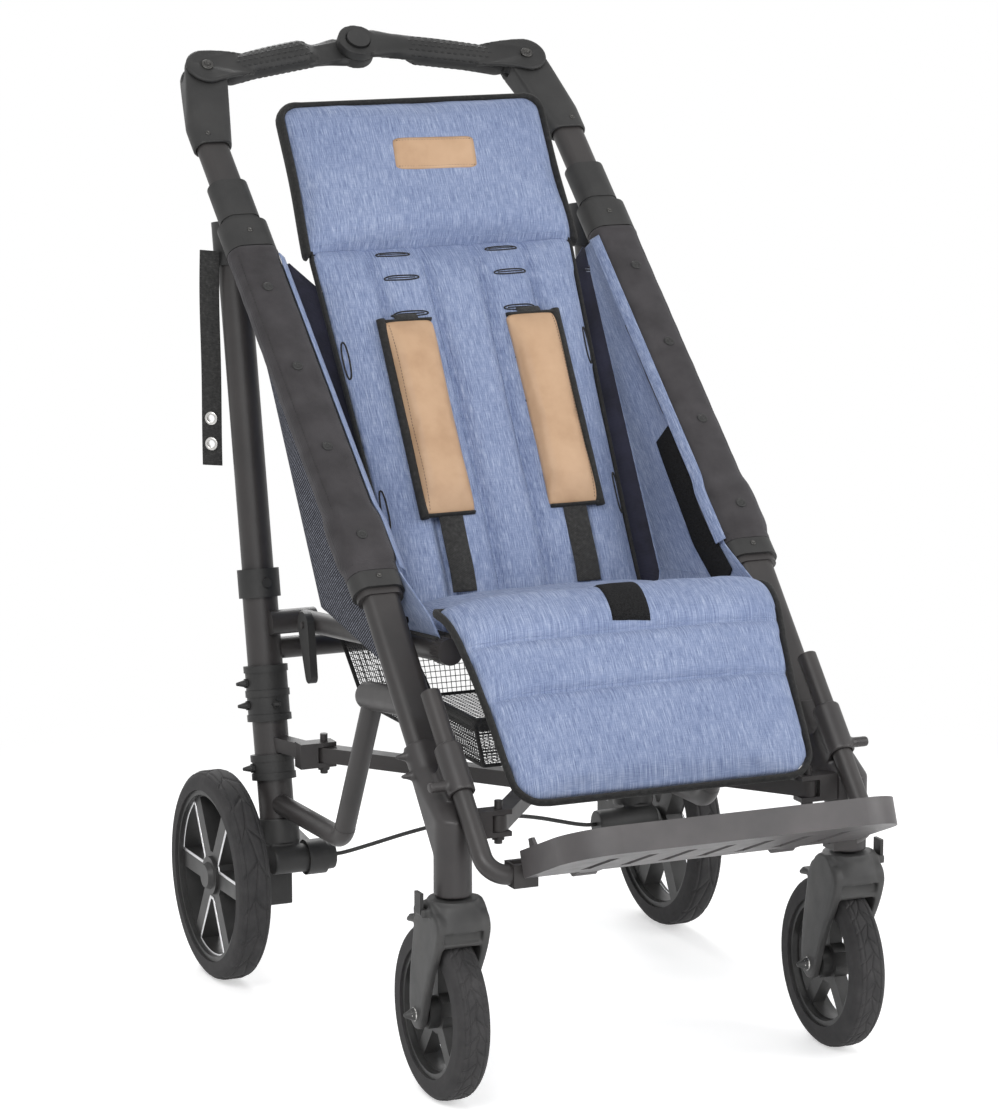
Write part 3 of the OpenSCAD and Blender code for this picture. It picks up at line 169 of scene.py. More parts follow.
# ---- materials ----
class Finish:
    """A node material under construction, with short calls for the usual nodes."""

    def __init__(self, name, roughness=0.5, metallic=0.0, specular=0.5):
        self.material = bpy.data.materials.new(name)
        self.material.use_nodes = True
        self.tree = self.material.node_tree
        self.surface({"Roughness": roughness, "Metallic": metallic, "Specular IOR Level": specular})
        coords = self.tree.nodes.new("ShaderNodeTexCoord").outputs
        self.place, self.uv = coords["Object"], coords["UV"]

    def surface(self, sockets):
        fill(self.tree, self.tree.nodes["Principled BSDF"], sockets)

    def node(self, kind, out, sockets, **settings):
        return wired(self.tree, "ShaderNode" + kind, sockets, **settings).outputs[out]

    def mapped(self, source, scale=(1, 1, 1), turn=(0, 0, 0)):
        return self.node("Mapping", "Vector", {"Vector": source, "Scale": scale, "Rotation": turn})

    def noise(self, vector, scale, detail=3, rough=0.55):
        return self.node("TexNoise", "Fac", {"Vector": vector, "Scale": scale, "Detail": detail, "Roughness": rough})

    def wave(self, vector, scale, direction):
        return self.node("TexWave", "Fac", {"Vector": vector, "Scale": scale}, bands_direction=direction)

    def cells(self, vector, scale):
        return self.node("TexVoronoi", "Distance", {"Vector": vector, "Scale": scale})

    def ramp(self, value, *stops):
        made = wired(self.tree, "ShaderNodeValToRGB", {"Fac": value})
        marks = made.color_ramp.elements
        while len(marks) < len(stops):
            marks.new(0.5)
        for mark, (spot, colour) in zip(marks, stops):
            mark.position = spot
            mark.color = (*colour, 1)
        return made.outputs["Color"]

    def span(self, value, low, high):
        return self.node("MapRange", "Result", {"Value": value, "To Min": low, "To Max": high})

    def sum(self, a, b, share=1.0):
        return self.node("Math", 0, {0: b, 1: share, 2: a}, operation="MULTIPLY_ADD")

    def product(self, a, b):
        return self.node("Math", 0, {0: a, 1: b}, operation="MULTIPLY")

    def colour(self, socket):
        self.surface({"Base Color": socket})

    def roughness(self, socket):
        self.surface({"Roughness": socket})

    def bump(self, height, strength, distance):
        sockets = {"Height": height, "Strength": strength, "Distance": distance}
        self.surface({"Normal": self.node("Bump", "Normal", sockets)})

    def sheen(self, weight, roughness, tint):
        self.surface({"Sheen Weight": weight, "Sheen Roughness": roughness, "Sheen Tint": (*tint, 1)})


def heather_denim(name, dark, mid, pale):
    """Melange cloth: short pale and dark strokes run down the cloth, over a fine plain weave."""
    f = Finish(name, roughness=0.88, specular=0.22)
    fine = f.noise(f.mapped(f.uv, (1900, 86, 1)), 1.0, 2, 0.6)
    broad = f.noise(f.mapped(f.uv, (760, 32, 1)), 1.0, 2, 0.55)
    cross = f.noise(f.mapped(f.uv, (90, 1300, 1)), 1.0, 1, 0.5)
    strokes = f.sum(f.sum(f.span(fine, 0.0, 0.52), broad, 0.34), cross, 0.14)
    tone = f.sum(f.span(f.noise(f.uv, 9.0, 3), -0.06, 0.06), strokes, 1.0)
    f.colour(f.ramp(tone, (0.38, dark), (0.50, mid), (0.64, pale)))
    weave = f.product(f.wave(f.uv, 260, "X"), f.wave(f.uv, 260, "Y"))
    f.bump(f.sum(weave, fine, 0.5), 0.25, 0.0005)
    f.sheen(0.25, 0.5, pale)
    return f.material


def tan_hide(name):
    """Smooth tan imitation leather with a fine pebble grain."""
    f = Finish(name, roughness=0.5, specular=0.4)
    patch = f.noise(f.place, 22, 4)
    f.colour(f.ramp(patch, (0.3, (0.43, 0.27, 0.160)), (0.52, (0.50, 0.325, 0.20)), (0.75, (0.545, 0.36, 0.228))))
    grain = f.cells(f.place, 1300)
    f.bump(f.sum(f.noise(f.place, 300, 3), grain, 0.8), 0.22, 0.0004)
    f.roughness(f.span(patch, 0.42, 0.6))
    return f.material


def woven_black(name, scale, tone=0.02, strength=0.6):
    """Black webbing or binding: close ribs across a fine weave."""
    f = Finish(name, roughness=0.82, specular=0.3)
    fleck = f.noise(f.place, 260, 3)
    f.colour(f.ramp(fleck, (0.3, (tone * 0.55,) * 3), (0.6, (tone * 1.1, tone * 1.08, tone * 1.06)),
                    (0.85, (tone * 2.2,) * 3)))
    ribs = f.sum(f.wave(f.place, scale, "DIAGONAL"), f.wave(f.place, scale * 1.5, "X"), 0.6)
    f.bump(ribs, strength, 0.0006)
    f.sheen(0.2, 0.5, (0.3, 0.3, 0.3))
    return f.material


def blue_thread(name):
    """Twisted sewing thread, a little paler than the cloth."""
    f = Finish(name, roughness=0.7, specular=0.3)
    f.colour(f.ramp(f.noise(f.place, 700, 2), (0.35, (0.2, 0.26, 0.42)), (0.65, (0.36, 0.43, 0.60))))
    f.bump(f.wave(f.place, 1500, "DIAGONAL"), 0.4, 0.0002)
    f.sheen(0.3, 0.4, (0.7, 0.75, 0.9))
    return f.material


def pack_cloth(name, dark, pale):
    """Tough pack cloth, of the tube sleeves and the lining behind the back pad; that lining is made darker as painted
    shade for the recess it lies in.
    """
    f = Finish(name, roughness=0.75, specular=0.35)
    cloud = f.noise(f.place, 30, 4)
    f.colour(f.ramp(cloud, (0.3, dark), (0.7, pale)))
    weave = f.product(f.wave(f.place, 330, "X"), f.wave(f.place, 330, "Y"))
    f.bump(f.sum(weave, f.noise(f.place, 18, 3), 1.6), 0.45, 0.0008)
    f.sheen(0.25, 0.45, (0.35, 0.35, 0.38))
    return f.material


def ribbed_mesh(name):
    """Dark blue-grey spacer mesh of the outer side walls, in slanted ribs."""
    f = Finish(name, roughness=0.85, specular=0.25)
    ribs = f.wave(f.mapped(f.place, (1, 1, 1), (math.radians(35), 0, 0)), 95, "Z")
    holes = f.cells(f.place, 520)
    tone = f.product(ribs, f.span(holes, 0.3, 1.2))
    f.colour(f.ramp(tone, (0.05, (0.009, 0.009, 0.012)), (0.45, (0.050, 0.053, 0.070)), (0.9, (0.27, 0.285, 0.34))))
    f.bump(tone, 0.7, 0.001)
    return f.material


def hook_strip(name):
    """Black hook and loop tape: a mat of tiny loops."""
    f = Finish(name, roughness=0.95, specular=0.2)
    loops = f.cells(f.place, 900)
    f.colour(f.ramp(loops, (0.1, (0.03, 0.03, 0.031)), (0.5, (0.012, 0.012, 0.013)), (0.8, (0.004, 0.004, 0.004))))
    f.bump(f.sum(loops, f.noise(f.place, 700, 2), 0.8), 0.9, 0.0012)
    return f.material


def powder_coat(name, tone):
    """Fine satin powder coat with a slight orange peel and dusty patches."""
    f = Finish(name, roughness=0.42, specular=0.45)
    cloud = f.noise(f.place, 14, 4)
    r, g, b = tone
    f.colour(f.ramp(cloud, (0.3, (r * 0.8, g * 0.8, b * 0.8)), (0.7, (r * 1.25, g * 1.22, b * 1.2))))
    f.bump(f.noise(f.place, 850, 2), 0.16, 0.0003)
    f.roughness(f.span(f.noise(f.place, 45, 3), 0.34, 0.52))
    return f.material


def moulded_plastic(name, tone, grain=1400, rough=(0.42, 0.6)):
    """Black moulded plastic with spark-eroded grain."""
    f = Finish(name, roughness=0.5, specular=0.4)
    cloud = f.noise(f.place, 25, 3)
    f.colour(f.ramp(cloud, (0.3, (tone * 0.75,) * 3), (0.72, (tone * 1.3, tone * 1.28, tone * 1.26))))
    f.bump(f.cells(f.place, grain), 0.2, 0.0003)
    f.roughness(f.span(f.noise(f.place, 60, 3), *rough))
    return f.material


def tyre_rubber(name):
    """Matt solid tyre with a little grey bloom."""
    f = Finish(name, roughness=0.8, specular=0.3)
    bloom = f.noise(f.place, 38, 5, 0.65)
    f.colour(f.ramp(bloom, (0.3, (0.027, 0.0265, 0.0275)), (0.6, (0.046, 0.0445, 0.0455)),
                    (0.85, (0.078, 0.076, 0.077))))
    f.bump(f.noise(f.place, 600, 4), 0.35, 0.0005)
    f.roughness(f.span(bloom, 0.68, 0.9))
    return f.material


def plated_metal(name, tone, rough=(0.2, 0.42)):
    """Nickel or dark plating with fine handling marks."""
    f = Finish(name, roughness=0.3, metallic=1.0)
    marks = f.noise(f.mapped(f.place, (40, 700, 700)), 1.0, 3)
    r, g, b = tone
    f.colour(f.ramp(f.noise(f.place, 120, 3), (0.3, (r * 0.82, g * 0.82, b * 0.82)), (0.7, tone)))
    f.roughness(f.span(marks, *rough))
    f.bump(marks, 0.06, 0.0003)
    return f.material


set_camera()
set_light()
set_floor()

DENIM = heather_denim("heather_denim", (0.118, 0.155, 0.275), (0.220, 0.275, 0.430), (0.40, 0.455, 0.60))
TAN = tan_hide("tan_hide")
WEBBING = woven_black("black_webbing", 190, 0.032)
BINDING = woven_black("black_binding", 420, 0.019, 0.4)
SLEEVE = pack_cloth("black_sleeve_cloth", (0.026, 0.0235, 0.025), (0.049, 0.045, 0.048))
# navy lining, made darker than the cloth's own colour as painted shade: it stands for the shadow in the recess behind
# the back pad
LINING_WITH_PAINTED_SHADE = pack_cloth("navy_lining", (0.010, 0.010, 0.019), (0.022, 0.022, 0.042))
SIDE_MESH = ribbed_mesh("ribbed_side_mesh")
HOOK = hook_strip("hook_and_loop")
FRAME_COAT = powder_coat("charcoal_powder_coat", (0.030, 0.0275, 0.0275))
CAST_COAT = powder_coat("casting_coat", (0.033, 0.0305, 0.031))
PLATE_COAT = powder_coat("plate_coat", (0.068, 0.064, 0.066))
PLASTIC = moulded_plastic("black_moulding", 0.024)
FORK = moulded_plastic("fork_moulding", 0.046, 1100, (0.45, 0.6))
GRIP = moulded_plastic("soft_grip", 0.022, 1900, (0.5, 0.68))
RIM = moulded_plastic("rim_moulding", 0.030, 1200, (0.36, 0.52))
RUBBER = tyre_rubber("tyre_rubber")
NICKEL = plated_metal("nickel_plate", (0.62, 0.61, 0.59))
DARK_STEEL = plated_metal("black_oxide", (0.085, 0.083, 0.08), (0.3, 0.5))
# the dimples are small raised domes coloured far darker than the grip: painted shade standing for the shadow in the
# grip's hollows
DIMPLE_PAINTED_SHADE = moulded_plastic("grip_dimples", 0.007, 1900, (0.4, 0.55))
SILVER = plated_metal("silver_trim", (0.70, 0.70, 0.71), (0.25, 0.4))
THREAD = woven_black("dark_thread", 900, 0.03, 0.2)
PALE_THREAD = blue_thread("blue_thread")

BY_SLOT = {
    "frame_paint": FRAME_COAT, "cast_black": CAST_COAT, "plate_paint": PLATE_COAT, "black_plastic": PLASTIC,
    "rim_plastic": RIM, "grip": GRIP, "tyre": RUBBER, "denim": DENIM, "tan_leather": TAN, "webbing": WEBBING,
    "mesh": WEBBING, "cable": PLASTIC,
}
for part in frame["record"]["subparts"]:
    finish = BY_SLOT[part["material_slot"]]
    mesh = nodes[part["node"]].data
    mesh.materials.clear()
    mesh.materials.append(finish)


# ---- making plain meshes ----
def cloth_map(mesh, flat):
    """Gives a mesh its cloth coordinates, a pair for each vertex."""
    layer = mesh.uv_layers.new(name="cloth")
    index = np.zeros(len(mesh.loops), dtype=np.int64)
    mesh.loops.foreach_get("vertex_index", index)
    layer.data.foreach_set("uv", np.asarray(flat)[index].astype(np.float32).ravel())


def coated(mesh, finish):
    """Smooth faces, all of one finish."""
    mesh.polygons.foreach_set("use_smooth", [True] * len(mesh.polygons))
    mesh.materials.clear()
    mesh.materials.append(finish)


def finished(name, verts, faces, finish, uvs=None):
    """A closed mesh object at the origin, faces outward. uvs holds one pair for each vertex."""
    mesh = bpy.data.meshes.new(name)
    mesh.from_pydata([tuple(v) for v in verts], [], [tuple(int(i) for i in f) for f in faces])
    if uvs is not None:
        cloth_map(mesh, uvs)
    coated(mesh, finish)
    return outward(added(name, mesh))


def settled(obj):
    """Turns what the modifiers give into the object's own plain mesh."""
    graph = bpy.context.evaluated_depsgraph_get()
    graph.update()
    mesh = bpy.data.meshes.new_from_object(obj.evaluated_get(graph))
    obj.modifiers.clear()
    old, obj.data = obj.data, mesh
    mesh.name = obj.name
    if old.users == 0:
        bpy.data.meshes.remove(old)
    return obj


def outward(obj):
    made = bmesh.new()
    made.from_mesh(obj.data)
    bmesh.ops.remove_doubles(made, verts=made.verts, dist=1e-6)
    bmesh.ops.recalc_face_normals(made, faces=made.faces)
    made.to_mesh(obj.data)
    made.free()
    return obj


def points_of(mesh):
    flat = np.zeros(len(mesh.vertices) * 3)
    mesh.vertices.foreach_get("co", flat)
    return flat.reshape(-1, 3)


def loose(obj):
    """Takes an object's mesh and drops the object."""
    mesh = obj.data
    bpy.data.objects.remove(obj)
    return mesh


def joined(name, objs):
    """One mesh from several of the same body, each keeping its own finish."""
    made = bmesh.new()
    finishes = []
    for o in objs:
        before = len(made.faces)
        made.from_mesh(o.data)
        made.faces.ensure_lookup_table()
        own = o.data.materials[0]
        if own not in finishes:
            finishes.append(own)
        for f in made.faces[before:]:
            f.material_index = finishes.index(own)
    mesh = bpy.data.meshes.new(name)
    made.to_mesh(mesh)
    made.free()
    for m in finishes:
        mesh.materials.append(m)
    for o in objs:
        bpy.data.meshes.remove(loose(o))
    return added(name, mesh)


def looped(rings, sides):
    """Faces of rings of points, one on the next, the last meeting the first."""
    faces = []
    for i in range(rings):
        j = (i + 1) % rings
        for k in range(sides):
            q = (k + 1) % sides
            faces.append((i * sides + k, i * sides + q, j * sides + q, j * sides + k))
    return faces


def stacked(rings, sides):
    """Faces of rings of points, one on the next, closed at both ends."""
    ends = [tuple(range(sides))[::-1], tuple((rings - 1) * sides + k for k in range(sides))]
    return looped(rings, sides)[:-sides] + ends


def shell(nu, nv):
    """Faces of two like grids of nu by nv squares, one over the other, joined round the edge."""
    w, layer = nv + 1, (nu + 1) * (nv + 1)
    grid = [(i * w + j, (i + 1) * w + j, (i + 1) * w + j + 1, i * w + j + 1) for i in range(nu) for j in range(nv)]
    ring = list(range(w)) + [i * w + nv for i in range(1, nu + 1)]
    ring += [nu * w + j for j in range(nv - 1, -1, -1)] + [i * w for i in range(nu - 1, 0, -1)]
    rim = [(p, q, layer + q, layer + p) for p, q in zip(ring, ring[1:] + ring[:1])]
    return grid + [tuple(layer + v for v in f[::-1]) for f in grid] + rim


def sweep(path, profile, facing, closed=False):
    """Vertices and faces of a profile (aside, up) carried along path; facing is the up direction at each point."""
    path = np.asarray(path, float)
    facing = np.broadcast_to(np.asarray(facing, float), path.shape)
    n, m = len(path), len(profile)
    along = np.roll(path, -1, 0) - np.roll(path, 1, 0) if closed else np.gradient(path, axis=0)
    along /= np.maximum(np.linalg.norm(along, axis=1, keepdims=True), 1e-12)
    up = facing - along * (facing * along).sum(1, keepdims=True)
    up /= np.maximum(np.linalg.norm(up, axis=1, keepdims=True), 1e-12)
    aside = np.cross(along, up)
    verts = np.concatenate([[p + aside[i] * a + up[i] * b for a, b in profile] for i, p in enumerate(path)])
    return verts, looped(n, m) if closed else stacked(n, m)


def swept(name, path, profile, facing, finish, closed=False):
    return finished(name, *sweep(path, profile, facing, closed), finish)


def circle(sides):
    """Cosine and sine at even steps round a full turn."""
    return [(math.cos(2 * math.pi * k / sides), math.sin(2 * math.pi * k / sides)) for k in range(sides)]


def squared(c, power):
    """A cosine or sine pushed outward, which turns an oval into a rounded box."""
    return math.copysign(abs(c) ** power, c)


def oval(wide, high, sides=10):
    return [(wide * c, high * d) for c, d in circle(sides)]


def slab(wide, thick):
    """Cross-section of a flat strap with eased edges."""
    e = thick * 0.35
    return [(wide, -thick / 2 + e), (wide, thick / 2 - e), (wide - e, thick / 2), (-wide + e, thick / 2),
            (-wide, thick / 2 - e), (-wide, -thick / 2 + e), (-wide + e, -thick / 2), (wide - e, -thick / 2)]


def run_along(line):
    """The distance along a line at each of its points."""
    return np.concatenate([[0], np.cumsum(np.linalg.norm(np.diff(line, axis=0), axis=1))])


def read_off(where, run, rows):
    """Rows given at the distances run, read off at other distances."""
    return np.stack([np.interp(where, run, column) for column in rows.T], -1)


def smooth_line(points, count):
    """A curve through the points, evenly stepped."""
    p = np.asarray(points, float)
    p = np.vstack([2 * p[0] - p[1], p, 2 * p[-1] - p[-2]])
    out = []
    for i in range(1, len(p) - 2):
        a, b, c, d = p[i - 1:i + 3]
        for t in np.linspace(0, 1, 24, endpoint=False):
            square, cube = 2 * a - 5 * b + 4 * c - d, 3 * b - a - 3 * c + d
            out.append(0.5 * (2 * b + (c - a) * t + square * t ** 2 + cube * t ** 3))
    out = np.array(out + [p[-2]])
    run = run_along(out)
    return read_off(np.linspace(0, run[-1], count), run, out)


def turned(profile, sides=20):
    """A turned shape about Z from (radius, height) pairs, closed at both ends."""
    return [(r * c, r * d, z) for r, z in profile for c, d in circle(sides)], stacked(len(profile), sides)


# ---- Geometry Nodes: fittings set out on points, stitches along seams ----
def socket_id(tree, name):
    return [s.identifier for s in tree.interface.items_tree if s.name == name and s.in_out == "INPUT"][0]


def node_group(name, **inputs):
    """An empty group with a Geometry input, the inputs named and a Geometry output; gives it and its inputs."""
    tree = bpy.data.node_groups.new(name, "GeometryNodeTree")
    for label, kind in {"Geometry": "Geometry", **inputs}.items():
        tree.interface.new_socket(label, in_out="INPUT", socket_type="NodeSocket" + kind)
    tree.interface.new_socket("Geometry", in_out="OUTPUT", socket_type="NodeSocketGeometry")
    return tree, tree.nodes.new("NodeGroupInput").outputs


def close_group(tree, start, geometry):
    real = wired(tree, "GeometryNodeRealizeInstances", {"Geometry": geometry})
    paint = wired(tree, "GeometryNodeSetMaterial", {"Geometry": real.outputs["Geometry"], "Material": start["Finish"]})
    wired(tree, "NodeGroupOutput", {"Geometry": paint.outputs["Geometry"]})
    return tree


PLACE_KEYS = ("facing", "runs", "grow")


def fittings_tree():
    """Sets one shape out on points, turned to each point's facing and spun about it."""
    tree, start = node_group("set_out_fittings", Fitting="Object", Finish="Material")
    shape = wired(tree, "GeometryNodeObjectInfo", {"Object": start["Fitting"]})
    facing, runs, grow = (
        wired(tree, "GeometryNodeInputNamedAttribute", {"Name": key}, data_type="FLOAT_VECTOR").outputs["Attribute"]
        for key in PLACE_KEYS)
    up = wired(tree, "FunctionNodeAlignRotationToVector", {"Vector": facing}, axis="Z")
    turn = wired(tree, "FunctionNodeAlignRotationToVector", {"Rotation": up.outputs["Rotation"], "Vector": runs},
                 axis="X", pivot_axis="Z")
    put = wired(tree, "GeometryNodeInstanceOnPoints", {
        "Points": start["Geometry"], "Instance": shape.outputs["Geometry"],
        "Rotation": turn.outputs["Rotation"], "Scale": grow})
    return close_group(tree, start, put.outputs["Instances"])


FITTINGS = fittings_tree()


def made_by(obj, tree, **inputs):
    """Runs a group on the object, its inputs set by name, and keeps the plain mesh."""
    made = obj.modifiers.new(tree.name, "NODES")
    made.node_group = tree
    for label, value in inputs.items():
        made[socket_id(tree, label)] = value
    return settled(obj)


def set_out(name, fitting, places, finish):
    """places: (point, facing, runs, (sx, sy, sz)) for each copy of the fitting, (verts, faces)."""
    shape_mesh = bpy.data.meshes.new(name + "_shape")
    shape_mesh.from_pydata([tuple(v) for v in fitting[0]], [], fitting[1])
    coated(shape_mesh, finish)
    shape = added(name + "_shape", shape_mesh)
    mesh = bpy.data.meshes.new(name)
    mesh.from_pydata([tuple(p[0]) for p in places], [], [])
    for k, key in enumerate(PLACE_KEYS):
        layer = mesh.attributes.new(key, "FLOAT_VECTOR", "POINT")
        layer.data.foreach_set("vector", np.array([p[k + 1] for p in places], dtype=np.float32).ravel())
    obj = made_by(added(name, mesh), FITTINGS, Fitting=shape, Finish=finish)
    for key in PLACE_KEYS:
        if key in obj.data.attributes:
            obj.data.attributes.remove(obj.data.attributes[key])
    bpy.data.meshes.remove(loose(shape))
    return obj


def stitch_places(lines, pitch, length, thick):
    """Places for stitches along lines of (points, facing)."""
    places = []
    for line, facing in lines:
        line = np.asarray(line, float)
        run = run_along(line)
        facing = np.broadcast_to(np.asarray(facing, float), line.shape)
        for s in np.arange(pitch / 2, run[-1], pitch):
            spot, ahead = read_off(s, run, line), read_off(s + pitch * 0.4, run, line)
            if np.linalg.norm(ahead - spot) >= 1e-6:
                places.append((spot, read_off(s, run, facing), ahead - spot, (length, thick, thick)))
    return places


STITCH = turned([(0.2, -0.5), (0.5, -0.3), (0.5, 0.3), (0.2, 0.5)], 6)
STITCH = ([(z, x, y) for x, y, z in STITCH[0]], STITCH[1])
SEAM_STITCH = (0.0042, 0.0029, 0.0007)
ACROSS, TRUE_SIZE = (1, 0, 0), (1, 1, 1)


# ---- how pieces move ----
def rides(piece, body, slot, *gone):
    """A piece that moves with a body; it stands for the drawn nodes in gone."""
    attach(piece, body)
    if gone:
        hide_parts(*gone)
    return piece


def gathers(obj, slot, *gone, pad_fill=None, keep=FOLD_KEEP, anchor=LEFT_RAIL, body="left_frame"):
    """A soft piece across the fold: rides a side."""
    rides(obj, body, slot, *gone)
    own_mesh(obj)


# ---- padded panels, worked flat and then laid on their run ----
class Run:
    """A line in the side view that a panel lies along: place(u, v, n) is u across, v along it, n off it."""

    def __init__(self, points, flip=1, middle=0.0):
        self.p = np.asarray(points, float)
        self.s = run_along(self.p)
        self.length = self.s[-1]
        t = np.gradient(self.p, self.s, axis=0)
        self.t = t / np.linalg.norm(t, axis=1, keepdims=True)
        self.flip, self.middle = flip, middle

    def place(self, flat):
        u, v, n = np.moveaxis(np.asarray(flat, float), -1, 0)
        inside = np.clip(v, 0, self.length)
        y, z = np.moveaxis(read_off(inside, self.s, self.p), -1, 0)
        ty, tz = np.moveaxis(read_off(inside, self.s, self.t), -1, 0)
        over, n = v - inside, n * self.flip
        return np.stack([u + self.middle, y + ty * over - tz * n - MID, z + tz * over + ty * n], -1)


def face_tree(mesh):
    """Finds where a ray meets a mesh."""
    return BVHTree.FromPolygons([v.co.copy() for v in mesh.vertices], [tuple(p.vertices) for p in mesh.polygons])


class Pad:
    """A padded panel: half width from low to high along its length, crown thickness, rounded corners."""

    def __init__(self, name, run, half_low, half_high, crown, edge, corner, pull=0.004, low_corner=None):
        self.name, self.run, self.crown, self.edge, self.corner, self.pull = name, run, crown, edge, corner, pull
        self.low_corner = corner if low_corner is None else low_corner
        self.half = lambda v: half_low + (half_high - half_low) * v / run.length
        self.length = run.length
        self.blank = self.cut()

    def outline(self, v):
        """Half width at v, with rounded corners and sides drawn in between them."""
        ease = 0.0
        for d, r in ((v, self.low_corner), (self.length - v, self.corner)):
            d = np.clip(d, 0, None)
            ease = ease + np.where(d < r, r - np.sqrt(np.maximum(r * r - (r - np.minimum(d, r)) ** 2, 0)), 0)
        return self.half(v) - ease - self.pull * np.sin(np.pi * np.clip(v / self.length, 0, 1)) ** 2

    def cut(self, nu=28, nv=36):
        ease = 0.5 - 0.5 * np.cos(np.linspace(0, np.pi, nv))
        vs = (0.5 * ease + 0.5 * np.linspace(0, 1, nv)) * self.length
        us = np.sin(np.linspace(-np.pi / 2, np.pi / 2, nu)) * 0.6 + np.linspace(-1, 1, nu) * 0.4
        verts = []
        for side in (1, 0):
            for v in vs:
                h = self.outline(v)
                t = v / self.length
                for s in us:
                    rise = (1 - abs(s) ** 4) * (1 - abs(2 * t - 1) ** 6)
                    verts.append((h * s, v, (self.edge + (self.crown - self.edge) * rise) if side else 0.0))
        return finished(self.name, verts, shell(nv - 1, nu - 1), DENIM)

    def surface(self):
        """Keeps the flat shape for setting pieces on it."""
        self.flat = points_of(self.blank.data)
        self.tree = face_tree(self.blank.data)

    def top(self, u, v, off=0.0):
        hit = self.tree.ray_cast(Vector((u, v, 0.3)), Vector((0, 0, -1)))
        n = hit[0].z if hit[0] is not None else self.edge
        return (u, v, n + off)

    def on_top(self, line, off=0.0):
        """A flat line (u, v) laid on the pad's face; gives flat points."""
        return np.array([self.top(u, v, off) for u, v in line])

    def facing(self, flat):
        a = self.run.place(np.asarray(flat) + [0, 0, 0.001])
        return (a - self.run.place(flat)) / 0.001

    def rim(self, inset, lift, ends, steps=40):
        """The outline as a flat line at a share of the edge's height: its left, top and right, or one side."""
        vs = np.linspace(0, self.length, steps)
        near = self.corner * np.array([0.03, 0.12])
        vs = np.concatenate([[0], near, vs[1:-1], self.length - near[::-1], [self.length]])
        n = self.edge * lift
        left = [(-self.outline(v) + inset, v, n) for v in vs]
        right = [(self.outline(v) - inset, v, n) for v in vs[::-1]]
        h = self.outline(self.length) - inset
        top = [(u, self.length - inset, n) for u in np.linspace(-h, h, steps)[1:-1]]
        return np.array({"LTR": left + top + right, "L": left, "R": right}[ends])

    def strip(self, name, flat, profile, finish, closed=False):
        """A profile swept along a flat line, laid on the run."""
        verts, faces = sweep(flat, profile, (0, 0, 1), closed)
        return finished(name, self.run.place(verts), faces, finish, uvs=verts[:, :2])


CLOTH = {"quality": 4, "mass": 0.25, "tension_stiffness": 14, "compression_stiffness": 14, "bending_stiffness": 0.6,
         "use_pressure": True, "uniform_pressure_force": 4}
CLOTH_FRAMES = 20


def inflate(pads, cap=0.007, voxel=0.0052):
    """Fills the cut panels: remesh, a short cloth run under pressure, the move capped, then one subdivision."""
    for pad in pads:
        made = pad.blank.modifiers.new("even", "REMESH")
        made.mode, made.voxel_size = "VOXEL", voxel
        pad.before = points_of(settled(pad.blank).data)
    for pad in pads:
        cloth = pad.blank.modifiers.new("fill", "CLOTH")
        for key, value in CLOTH.items():
            setattr(cloth.settings, key, value)
        cloth.settings.effector_weights.gravity = 0
        cloth.point_cache.frame_start, cloth.point_cache.frame_end = 1, CLOTH_FRAMES
    for f in range(1, CLOTH_FRAMES + 1):
        scene.frame_set(f)
    for pad in pads:
        settled(pad.blank)
    scene.frame_set(1)
    for pad in pads:
        mesh = pad.blank.data
        co = points_of(mesh)
        if len(co) == len(pad.before):
            move = co - pad.before
            far = np.linalg.norm(move, axis=1, keepdims=True)
            move *= np.minimum(1, cap / np.maximum(far, 1e-9))
            co = pad.before + move * [0.35, 0.35, 1]
        co[:, 2] = np.maximum(co[:, 2], -0.0015)
        mesh.vertices.foreach_set("co", co.ravel())
        mesh.update()
        fine = pad.blank.modifiers.new("fine", "SUBSURF")
        fine.levels = fine.render_levels = 1
        pad.flat = points_of(settled(pad.blank).data)


def press(pad, across, along, depth, wide, ripple):
    """Sews channels into a filled pad: across holds shares of its width, along distances along it."""
    u, v, n = pad.flat.T
    share = np.ones(len(u))
    for d in [u - c * np.maximum(pad.half(v), 1e-6) for c in across] + [v - c for c in along]:
        dent = 0.55 * np.exp(-(d / wide) ** 2) + 0.45 * np.exp(-(d / (wide * 0.3)) ** 2)
        share = np.minimum(share, 1 - depth * dent)
    face = np.clip((n - 0.3 * pad.edge) / (0.7 * pad.edge), 0, 1)
    n = n * (1 - face * (1 - share))
    waves = np.sin(u * 61 + v * 23) * np.sin(v * 47 - u * 19) + 0.6 * np.sin(u * 131 + 1.3) * np.sin(v * 97 + u * 40)
    n = n + face * ripple * waves
    pad.blank.data.vertices.foreach_set("co", np.stack([u, v, n], 1).ravel())
    pad.blank.data.update()
    pad.surface()


def lay(pad, finish):
    """Puts the pad on its run, with its cloth coordinates from the flat panel."""
    mesh = pad.blank.data
    cloth_map(mesh, np.stack([pad.flat[:, 0], pad.flat[:, 1] + 0.6 * pad.flat[:, 2]], 1))
    mesh.vertices.foreach_set("co", pad.run.place(pad.flat).astype(np.float32).ravel())
    coated(mesh, finish)
    mesh.update()
    return pad.blank


# ---- the brake cable comes first, as every cord does ----
LEAN = math.radians(58.6)
CREASE = np.array([-0.108, 0.474])


def back_at(along, off):
    """A point by the back: along it from the crease of the seat, off its face."""
    c, d = math.cos(LEAN), math.sin(LEAN)
    return CREASE + along * np.array([c, d]) + off * np.array([-d, c])


